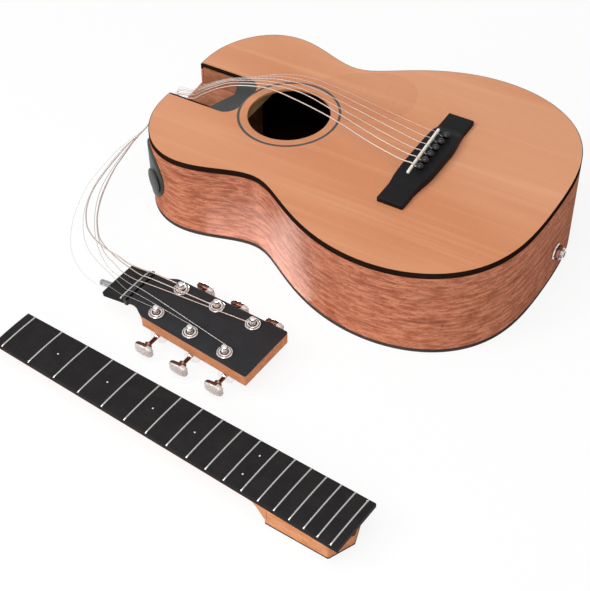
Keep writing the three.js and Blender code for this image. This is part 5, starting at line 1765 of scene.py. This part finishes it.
@dataclass
class NeckPiece(Assembly):
    """Fretboard, frets and dots on a half-round neck with a squared heel."""

    scale: float = 615.0
    start: float = 25.2
    end: float = 404.4
    nut_half: float = 21.7
    taper: float = 0.0143
    board: float = 5.5
    crown: float = 0.7
    frets: int = 18
    fret_width: float = 1.7
    fret_height: float = 1.0
    depth_nut: float = 21.2
    depth_heel: float = 23.6
    heel_start: float = 333.0
    heel_depth: float = 26.9
    heel_half: float = 26.0
    heel_end_half: float = 24.6
    shoulder: float = 393.0
    tip: float = 402.7
    cap: float = 2.0
    slot_width: float = 6.0
    slot_height: float = 9.0
    slot_length: float = 14.0
    nose: float = 1.2
    dots: tuple[tuple[int, float], ...] = (
        (3, 0.0), (5, 0.0), (7, 0.0), (9, 0.0), (12, 11.6), (12, -11.6),
    )
    dot_radius: float = 0.8
    dot_sink: float = 1.0
    fret_foot: float = 0.4
    swell: float = 17.0
    at: Pair = (-313.9, 204.5)
    yaw: float = -94.3
    place: Place = field(init=False)

    def __post_init__(self) -> None:
        """Finds the tilt that lays the neck on its nut end and its heel."""
        tilt = np.arctan((self.heel_depth - self.depth_nut) / (self.heel_start - self.start))
        lift = self.depth_nut * np.cos(tilt) - self.start * np.sin(tilt)
        self.place = Place((*self.at, float(lift)), self.yaw, float(np.degrees(tilt)))

    def half(self, x: Array | float) -> Array | float:
        """Half width of the fretboard."""
        return self.nut_half + self.taper * x

    def fret_at(self, number: Array | float) -> Array | float:
        """Twelfth-root rule from the nut."""
        return self.scale * (1.0 - 2.0 ** (-np.asarray(number) / 12.0))

    def build(self) -> None:
        """Makes the board, its frets and dots, the neck and the heel cap."""
        x, shrink = end_stations(self.start, self.end, 0.4, 60)
        half = self.half(x) - shrink
        board = bar(x, -half, half, -self.board, -shrink, 0.5, self.crown, 4, 15)
        self._frets()
        dots = Shape()
        radius, sink = self.dot_radius, self.dot_sink
        profile = [(0.0, -sink), (radius, -sink), (radius, NEST), (radius - 0.12, 0.06), (0.0, 0.06)]
        for number, across in self.dots:
            middle = float(self.fret_at(number) + self.fret_at(number - 1)) / 2.0
            drop = self.crown * (across / float(self.half(middle))) ** 2
            dots.rings(lathe(profile, 28) + np.array([middle, across, -drop]), place=self.place)
        shape = Shape().rings(board, place=self.place)
        shape.make("board", [self.finishes.ebony], Slot.EBONY, replaces=["fretboard"])
        dots.make("position_dots", [self.finishes.pearl], Slot.BONE)
        self._wood()

    def _frets(self) -> None:
        """Crowned wires that follow the board, their ends filed down to its edge."""
        shape = Shape()
        bend = np.radians(np.linspace(0.0, 180.0, 9))
        section_x = self.fret_width / 2 * np.cos(bend)
        section_z = self.fret_height * np.sin(bend) ** 0.8
        for number in range(1, self.frets + 1):
            x = float(self.fret_at(number))
            half = float(self.half(x)) - 0.15
            end = np.array([half, half - 0.5, half - 1.1])
            y = np.concatenate([-end, np.linspace(-half + 3, half - 3, 11), end[::-1]])
            lift = 0.15 + 0.85 * eased((half - np.abs(y)) / 1.1)
            z = section_z[None] * lift[:, None] - self.crown * (y[:, None] / half) ** 2
            foot = np.full((len(y), 1), -self.crown - self.fret_foot)
            across = np.concatenate([[self.fret_width / 2], section_x, [-self.fret_width / 2]])
            plan_x, plan_y = np.broadcast_arrays(x + across[None], y[:, None])
            rings = np.stack([plan_x, plan_y, np.concatenate([foot, z, foot], 1)], -1)
            shape.rings(rings, place=self.place)
        shape.make("frets", [self.finishes.steel], Slot.FRETS)

    def _wood(self) -> None:
        """Half-round shaft that squares up into the heel, the heel and its cap.

        The shaft's section is (h sgn(cos a) |cos a|^p, -d |sin a|^p), with p falling from
        1.4 on the shaft to 0.2 where it meets the heel.
        """
        top = -self.board - NEST
        floor = self.heel_depth - self.cap
        shaft = np.linspace(self.start, self.heel_start - 2 * self.swell, 26)
        x = np.concatenate([shaft, np.linspace(self.heel_start - 32, self.heel_start, 34)])
        along = (x - self.start) / (self.heel_start - self.start)
        plain = self.depth_nut + (self.depth_heel - self.depth_nut) * along
        swell = eased((x - self.heel_start + self.swell) / self.swell)
        depth = plain + (floor - plain) * swell
        cos, sin = shaft_section(1.4 - 1.2 * swell**0.7, 41)
        y = cos * (self.half(x)[:, None] - 0.1)
        z = top - sin * (depth + top)[:, None]
        rings = np.stack([np.broadcast_to(x[:, None], y.shape), y, z], -1)
        shape = Shape().rings(rings, place=self.place)
        nose_x, nose_y = self.shoulder + 0.8, self.heel_end_half - self.nose
        root, edge = self.heel_start - 2, self.shoulder - 0.6
        near = np.array([[root, -self.heel_half], [edge, -self.heel_end_half], [nose_x, -nose_y]])
        far = (near * [1, -1])[::-1]
        plan = np.vstack([near, [[self.tip, 0.0]], far])
        split = top - self.slot_height
        shape.rings(plate(plan, -floor, split, 0.0, 0.0), place=self.place)
        side = self.slot_width / 2
        mouth = self.tip - side * (self.tip - nose_x) / nose_y
        back = self.tip - self.slot_length
        notch = np.array([[mouth, -side], [back, -side], [back, side], [mouth, side]])
        shape.rings(plate(np.vstack([near, notch, far]), split, top, 0.0, 0.0), place=self.place)
        # Dark block set back inside the rod's slot: painted shade.
        low, high = back + 0.05, mouth - 2.5
        lining = np.array([[low, -side], [high, -side], [high, side], [low, side]])
        shape.rings(plate(lining, split - 0.05, top - 0.2, 0.0, 0.0), place=self.place, mark=1)
        finish = [self.finishes.neck, self.finishes.rod_slot_shade]
        shape.make("neck_body", finish, Slot.NECK_WOOD, replaces=["neck"])
        cap = plate(inset_loop(plan, -NEST), -self.heel_depth, -floor - NEST, 0.5, 0.0)
        shape = Shape().rings(cap, place=self.place)
        shape.make("heel_plate", [self.finishes.binding], Slot.BINDING, replaces=["heel_cap"])


# Headstock piece


@dataclass
class HeadPiece(Assembly):
    """Headstock with its face, the stub of neck, nut, zero fret and locating rod."""

    at: Triple = (-219.8, 105.5, 30.0)
    yaw: float = -93.6
    angle: float = 12.0
    length: float = 145.5
    thickness: float = 12.2
    face: float = 1.5
    half: float = 28.0
    end_half: float = 32.0
    flare: Pair = (11.0, 27.0)
    stub: float = 28.0
    stub_half: float = 21.5
    stub_inset: float = 2.0
    stub_depth: float = 20.0
    stub_board: float = 5.2
    zero_fret: float = -5.0
    nut_length: float = 4.0
    nut_height: float = 8.0
    nut_rise: float = 1.6
    rod_radius: float = 3.0
    rod_reach: float = 25.0
    rod_inside: float = 12.0
    tuner_first: float = 35.2
    tuner_spacing: float = 39.7
    tuner_inset: float = 10.2
    corner: float = 1.2

    @property
    def place(self) -> Place:
        """Frame of the headstock's face."""
        return Place(self.at, self.yaw)

    @property
    def leaned(self) -> Place:
        """Frame of the stub, which leans down from the nut."""
        return Place(self.at, self.yaw, self.angle)

    def half_at(self, x: Array) -> Array:
        """Half width: the stub's, then a cosine flare, then a straight taper outward.

        Args:
            x: Places from the nut.

        Returns:
            The half width at each.
        """
        low, high = self.flare
        share = np.clip((x - low) / (high - low), 0.0, 1.0)
        flare = self.stub_half + (self.half - self.stub_half) * (1 - np.cos(np.pi * share)) / 2
        along = np.clip((x - high) / (self.length - high), 0.0, 1.0)
        return np.where(x <= high, flare, self.half + (self.end_half - self.half) * along)

    def plan(self, start: float) -> Array:
        """Anticlockwise plan of the headstock from a start to its end, corners eased.

        Args:
            start: Where it begins.

        Returns:
            Points of the loop.
        """
        flare = np.linspace(max(start, self.flare[0]), self.flare[1], 22)
        x = np.unique(np.concatenate([[start], flare, [60, 100, self.length - self.corner]]))
        near = np.stack([x, -self.half_at(x)], -1)
        half = self.end_half - self.corner
        tip = np.array([[self.length, -half], [self.length, half]])
        return np.vstack([near, tip, (near * [1, -1])[::-1]])

    def build(self) -> None:
        """Makes the wood, the face, the stub's board, nut, zero fret and rod."""
        tilt = np.radians(self.angle)
        back = self.nut_length / 2 / np.cos(tilt) + self.face * np.tan(tilt)
        face = plate(self.plan(float(back) + 0.1), -self.face, 0.0, 0.0, 0.35)
        shape = Shape().rings(face, place=self.place)
        shape.make("head_face", [self.finishes.face], Slot.PLASTIC, replaces=["headplate"])
        self._wood()
        self._stub()
        self._rod()

    def _stub(self) -> None:
        """Short fretboard, zero fret and nut; the last two are bars laid across it."""
        x, shrink = end_stations(-self.stub, -self.nut_length / 2 - 0.05, 0.3, 14)
        half = self.stub_half - shrink
        board = bar(x, -half, half, -self.stub_board, -shrink, 0.4, 0.5, 3, 11)
        shape = Shape().rings(board, place=self.leaned)
        shape.make("stub_board", [self.finishes.ebony], Slot.EBONY, replaces=["stub_fretboard"])
        y, shrink = end_stations(-self.stub_half + 0.1, self.stub_half - 0.1, 0.8, 20)
        crest = 1.2 - shrink - 0.5 * (y / self.stub_half) ** 2
        wire = bar(y, self.zero_fret - 1.0, self.zero_fret + 1.0, -1.0, crest, 0.75, 0.0, 5, 3)
        shape = Shape().rings(wire[..., [1, 0, 2]], place=self.leaned)
        shape.make("zero_wire", [self.finishes.steel], Slot.FRETS, replaces=["zero_fret"])
        y, shrink = end_stations(-self.stub_half, self.stub_half, 0.5, 30)
        half = self.nut_length / 2
        top = self.nut_rise
        block = bar(y, -half + shrink, half - shrink, top - self.nut_height, top - shrink, 0.6)
        shape = Shape().rings(block[..., [1, 0, 2]], place=self.leaned)
        shape.make("nut_block", [self.finishes.gloss], Slot.PLASTIC, replaces=["nut"])

    def _wood(self) -> None:
        """Slab under the face, and the half-round stub that runs into it.

        A ring of the stub is blended from the leaned frame to the face's frame as it
        passes the nut.
        """
        low = -self.face - self.thickness - 0.3
        plan = self.plan(self.flare[1] - 1.5)
        shape = Shape().rings(plate(plan, low, -self.face - NEST, 1.2, 0.0), place=self.place)
        x = np.concatenate([np.linspace(-self.stub, -4, 14), np.linspace(-2, 32, 24)])
        square = eased((x - self.flare[0]) / (self.flare[1] - self.flare[0]))
        cos, sin = shaft_section(1.4 - 0.9 * square, 33)
        across = cos * (self.half_at(x) - self.stub_inset * (1 - square) - 0.15)[:, None]
        along = np.broadcast_to(x[:, None], across.shape)
        lean_z = -self.stub_board - NEST - sin * (self.stub_depth - self.stub_board)
        leaned = Place(lean=self.angle).carry(np.stack([along, across, lean_z], -1))
        flat_z = -self.face - NEST - sin * (-low - self.face - 0.4)
        level = np.stack([along, across, flat_z], -1)
        share = eased((x + 3.0) / 16.0)[:, None, None]
        shape.rings(leaned * (1 - share) + level * share, place=self.place)
        shape.make("head_wood", [self.finishes.neck], Slot.NECK_WOOD, replaces=["headstock"])

    def _rod(self) -> None:
        """Steel rod out of the stub's end with a chamfered tip and a groove."""
        r, reach, inside = self.rod_radius, self.rod_reach, -self.rod_inside
        profile = [(0.0, inside), (r, inside), (r, reach - 4.2), (r - 0.35, reach - 4.0)]
        profile += [(r - 0.35, reach - 3.2), (r, reach - 3.0), (r, reach - 0.8), (r - 0.8, reach)]
        profile += [(1.2, reach), (1.1, reach - 1.0), (0.0, reach - 1.0)]
        middle = -(self.stub_depth + self.stub_board) / 2
        rings = aimed(lathe(profile, 36), (-self.stub, 0.0, middle), (-1.0, 0.0, 0.0))
        shape = Shape().rings(rings, place=self.leaned)
        shape.make("locating_rod", [self.finishes.rod], Slot.FRETS, replaces=["dowel_rod"])

    def tuners(self) -> list[Triple]:
        """Finds the posts, the bass row first, from the nut to the tip.

        Returns:
            The x, y and side of each.
        """
        x = self.tuner_first + self.tuner_spacing * np.arange(3)
        y = self.half_at(x) - self.tuner_inset
        return [(float(a), float(b * s), s) for s in (1.0, -1.0) for a, b in zip(x, y, strict=True)]


@dataclass
class Tuner(Assembly):
    """One sealed tuning machine: housing, washer, post with its string wound on, and knob.

    The steps are radii and marks of the thin discs on the washer; a disc marked 1 is brown
    chrome, painted shade. The key's lobes are cut in by lobe_depth. Its brown part, a painted
    reflection of the wood, ends at shade_row along it and shade_turn round it; the rest is
    pale, a painted reflection of the bright room.
    """

    number: int
    x: float
    y: float
    side: float
    string: StringLine
    place: Place
    housing: Triple = (17.0, 15.0, 15.7)
    wood_low: float = -14.0
    washer: float = 7.4
    bushing: float = 4.6
    steps: tuple[tuple[float, int], ...] = ((6.3, 1), (5.5, 0), (4.2, 1))
    washer_top: float = 1.9
    nut_top: float = 3.4
    post: float = 3.0
    post_top: float = 9.3
    shaft: float = 1.9
    shaft_offset: float = 5.8
    shaft_height: float = 10.4
    knob_reach: float = 45.5
    key: Triple = (20.0, 8.0, 12.4)
    key_power: float = 3.2
    lobes: float = 6.0
    lobe_depth: float = 0.085
    shade_row: int = 11
    shade_turn: float = 0.35
    turns: float = 2.6
    seat: float = 0.3

    @property
    def spot(self) -> Array:
        """Place of the post in the face's frame."""
        return np.array([self.x, self.y, 0.0])

    def build(self) -> None:
        """Makes the machine's three pieces and the string's turns."""
        self._case()
        self._post()
        self._turns()
        self._knob()

    def _case(self) -> None:
        """Rounded cast housing under the wood, and washer and stepped nut above it."""
        length, width, height = self.housing
        top = self.wood_low - self.seat
        low = top - height
        shape = Shape()
        loop = rounded_box(length, width, 4.5, 8)
        centre = self.spot + [self.shaft_offset / 2, 0.0, 0.0]
        shape.rings(plate(loop, low, top, 3.0, 0.6, steps=6) + centre, place=self.place)
        collar = lathe([(0.0, 0.0), (3.6, 0.0), (3.6, 3.0), (3.0, 3.8), (0.0, 3.8)], 28)
        shape.rings(self._across(collar, width / 2 - 0.5), place=self.place)
        tube_wall, rim, crest = self.bushing, self.washer, self.washer_top
        profile = [(0.0, top - 0.5), (tube_wall, top - 0.5), (tube_wall, 0.02), (rim - 0.3, 0.02)]
        profile += [(rim, 0.3), (rim, crest - 0.5), (rim - 0.4, crest), (tube_wall, crest), (0.0, crest)]
        shape.rings(lathe(profile, 44) + self.spot, place=self.place)
        thick = 0.12
        # Discs marked 1 take the brown chrome: painted shade in the washer's rings.
        for step, (radius, mark) in enumerate(self.steps):
            base = crest + thick * step
            disc = [(0.0, base - 0.1), (radius, base - 0.1), (radius, base + 0.08)]
            disc += [(radius - 0.1, base + thick), (0.0, base + thick)]
            shape.rings(lathe(disc, 44) + self.spot, place=self.place, mark=mark)
        screw = [(0.0, low), (0.9, low + 0.05), (2.2, low), (2.6, low + 0.4), (2.6, low + 1.0)]
        shape.rings(lathe([*screw, (0.0, low + 1.0)], 28) + self.spot, place=self.place)
        finish, node = [self.finishes.chrome, self.finishes.shade_and_reflection_chrome], f"tuner_housing_{self.number}"
        shape.make(f"tuner_case_{self.number}", finish, Slot.CHROME, replaces=[node])

    def _across(self, rings: Array, start: float) -> Array:
        """Points rings along the worm shaft, from a distance outside the post's line.

        Args:
            rings: Points made about +z.
            start: Distance of their origin.

        Returns:
            The turned points.
        """
        z = self.wood_low - self.seat - self.housing[2] + self.shaft_height
        origin = (self.x + self.shaft_offset, self.y + self.side * start, z)
        return aimed(rings, origin, (0.0, self.side, 0.0))

    def _post(self) -> None:
        """Waisted post with a dished top; its string hole is a black rod through it, painted shade."""
        r, top = self.post, self.post_top
        profile = [(0.0, -13.0), (r, -13.0), (r, self.nut_top - 0.6), (r - 0.35, self.nut_top)]
        profile += [(r - 0.6, (self.nut_top + top) / 2), (r - 0.3, top - 3.4), (r, top - 2.6), (r, top - 1.3)]
        profile += [(r - 0.35, top - 0.5), (r - 1.1, top - 0.1), (0.8, top), (0.0, top)]
        shape = Shape().rings(lathe(profile, 36) + self.spot, place=self.place)
        # Black rod for the string hole: painted shade.
        eye = lathe([(0.0, -r + 0.3), (0.85, -r + 0.3), (0.85, r - 0.3), (0.0, r - 0.3)], 20)
        shape.rings(aimed(eye, (self.x, self.y, top - 3.8), (0.3, 1.0, 0.0)), place=self.place, mark=1)
        finish = [self.finishes.chrome, self.finishes.shadow]
        body = f"tuner_post_{self.number}"
        shape.make(f"tuner_pin_{self.number}", finish, Slot.CHROME, body, [body])

    def _turns(self) -> None:
        """The string's turns round its post, a helix that starts where the string ends.

        The path is (R cos a, R sin a, z - pitch a / 2 pi); its last stretch dives into
        the hole.
        """
        end, thick = self.string.points[-1], self.string.diameter
        post = self.place.carry(self.spot)
        start = np.arctan2(end[1] - post[1], end[0] - post[0])
        sense = -1.0 if self.side > 0 else 1.0
        angle = np.linspace(0.0, 2 * np.pi * self.turns, 90)
        reach = self.post - 0.45 + thick / 2
        height = end[2] - angle / (2 * np.pi) * thick * 1.06
        height = np.maximum(height, post[2] + self.nut_top + thick / 2 + 0.1)
        around = start + sense * angle
        path = np.stack([post[0] + reach * np.cos(around), post[1] + reach * np.sin(around), height], -1)
        finish, slot = self.string_finish(self.string)
        shape = Shape().rings(tube(path, thick / 2, 10))
        shape.make(f"post_turns_{self.string.name}", [finish], slot, f"tuner_post_{self.number}")

    def _knob(self) -> None:
        """Shaft, stepped collar and lobed button on the worm shaft.

        The button's section at height t along the shaft is a rounded oblong, scaled by
        (1 - |t|^2.6)^0.38 and drawn in between its lobes.
        """
        reach = self.knob_reach - abs(self.y)
        width, depth, height = self.key
        base = reach - depth / 2
        profile = [(0.0, -4.0), (self.shaft, -4.0), (self.shaft, base - 4.0), (3.0, base - 3.6)]
        profile += [(4.0, base - 2.4), (3.4, base - 0.6), (3.0, reach), (0.0, reach)]
        # The shaft and collar take the brown chrome: painted reflection of the wood.
        shape = Shape().rings(self._across(lathe(profile, 28), 0.0), place=self.place, mark=1)
        power, rows = self.key_power, 17
        t = np.linspace(-1.0, 1.0, rows)[:, None]
        turn = np.linspace(0.0, 2 * np.pi, 96, endpoint=False)[None]
        oval = (np.abs(np.cos(turn)) ** power + np.abs(np.sin(turn)) ** power) ** (-1 / power)
        lobes = 1.0 - self.lobe_depth * (0.5 + 0.5 * np.cos(self.lobes * turn)) ** 2
        scale = (1.0 - np.abs(t) ** 2.6 * 0.999) ** 0.38
        x = width / 2 * oval * lobes * np.cos(turn) * scale
        z = height / 2 * oval * lobes * np.sin(turn) * scale
        rings = np.stack([x, z, np.broadcast_to(t * depth / 2 + reach, x.shape)], -1)
        first = len(shape.marks)
        shape.rings(self._across(rings, 0.0), place=self.place)
        # Quads marked here take the brown chrome, a painted reflection of the wood; the rest take the pale
        # face, a painted reflection of the bright room.
        inward = np.arange(rows - 1)[:, None] < self.shade_row
        shade = inward & (-self.side * np.cos(turn) < self.shade_turn)
        shape.marks[first : first + shade.size] = shade.astype(int).ravel().tolist()
        body = f"tuner_knob_{self.number}"
        finish = [self.finishes.key_painted_reflection, self.finishes.shade_and_reflection_chrome]
        shape.make(f"tuner_key_{self.number}", finish, Slot.CHROME, body, [body])


# Building


def main() -> None:
    """Builds the guitar's looks in order: camera, strings, body, neck, headstock, room."""
    logging.basicConfig(level=logging.INFO, format="%(name)s: %(message)s")
    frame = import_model()
    bpy.context.scene.view_settings.view_transform = "Standard"
    studio = Studio()
    studio.build_camera()
    finishes = Finishes()
    StringSet(finishes).build()
    BodyShell(finishes).build(frame)
    Bridge(finishes).build()
    SidePanel(finishes).build()
    OutputJack(finishes).build()
    NeckPiece(finishes).build()
    head = HeadPiece(finishes)
    head.build()
    for number, (x, y, side) in enumerate(head.tuners(), 1):
        string = STRINGS[WOUND_ON[number - 1]]
        Tuner(finishes, number, x, y, side, string, head.place).build()
    studio.build_room()


if __name__ == "__main__":
    main()
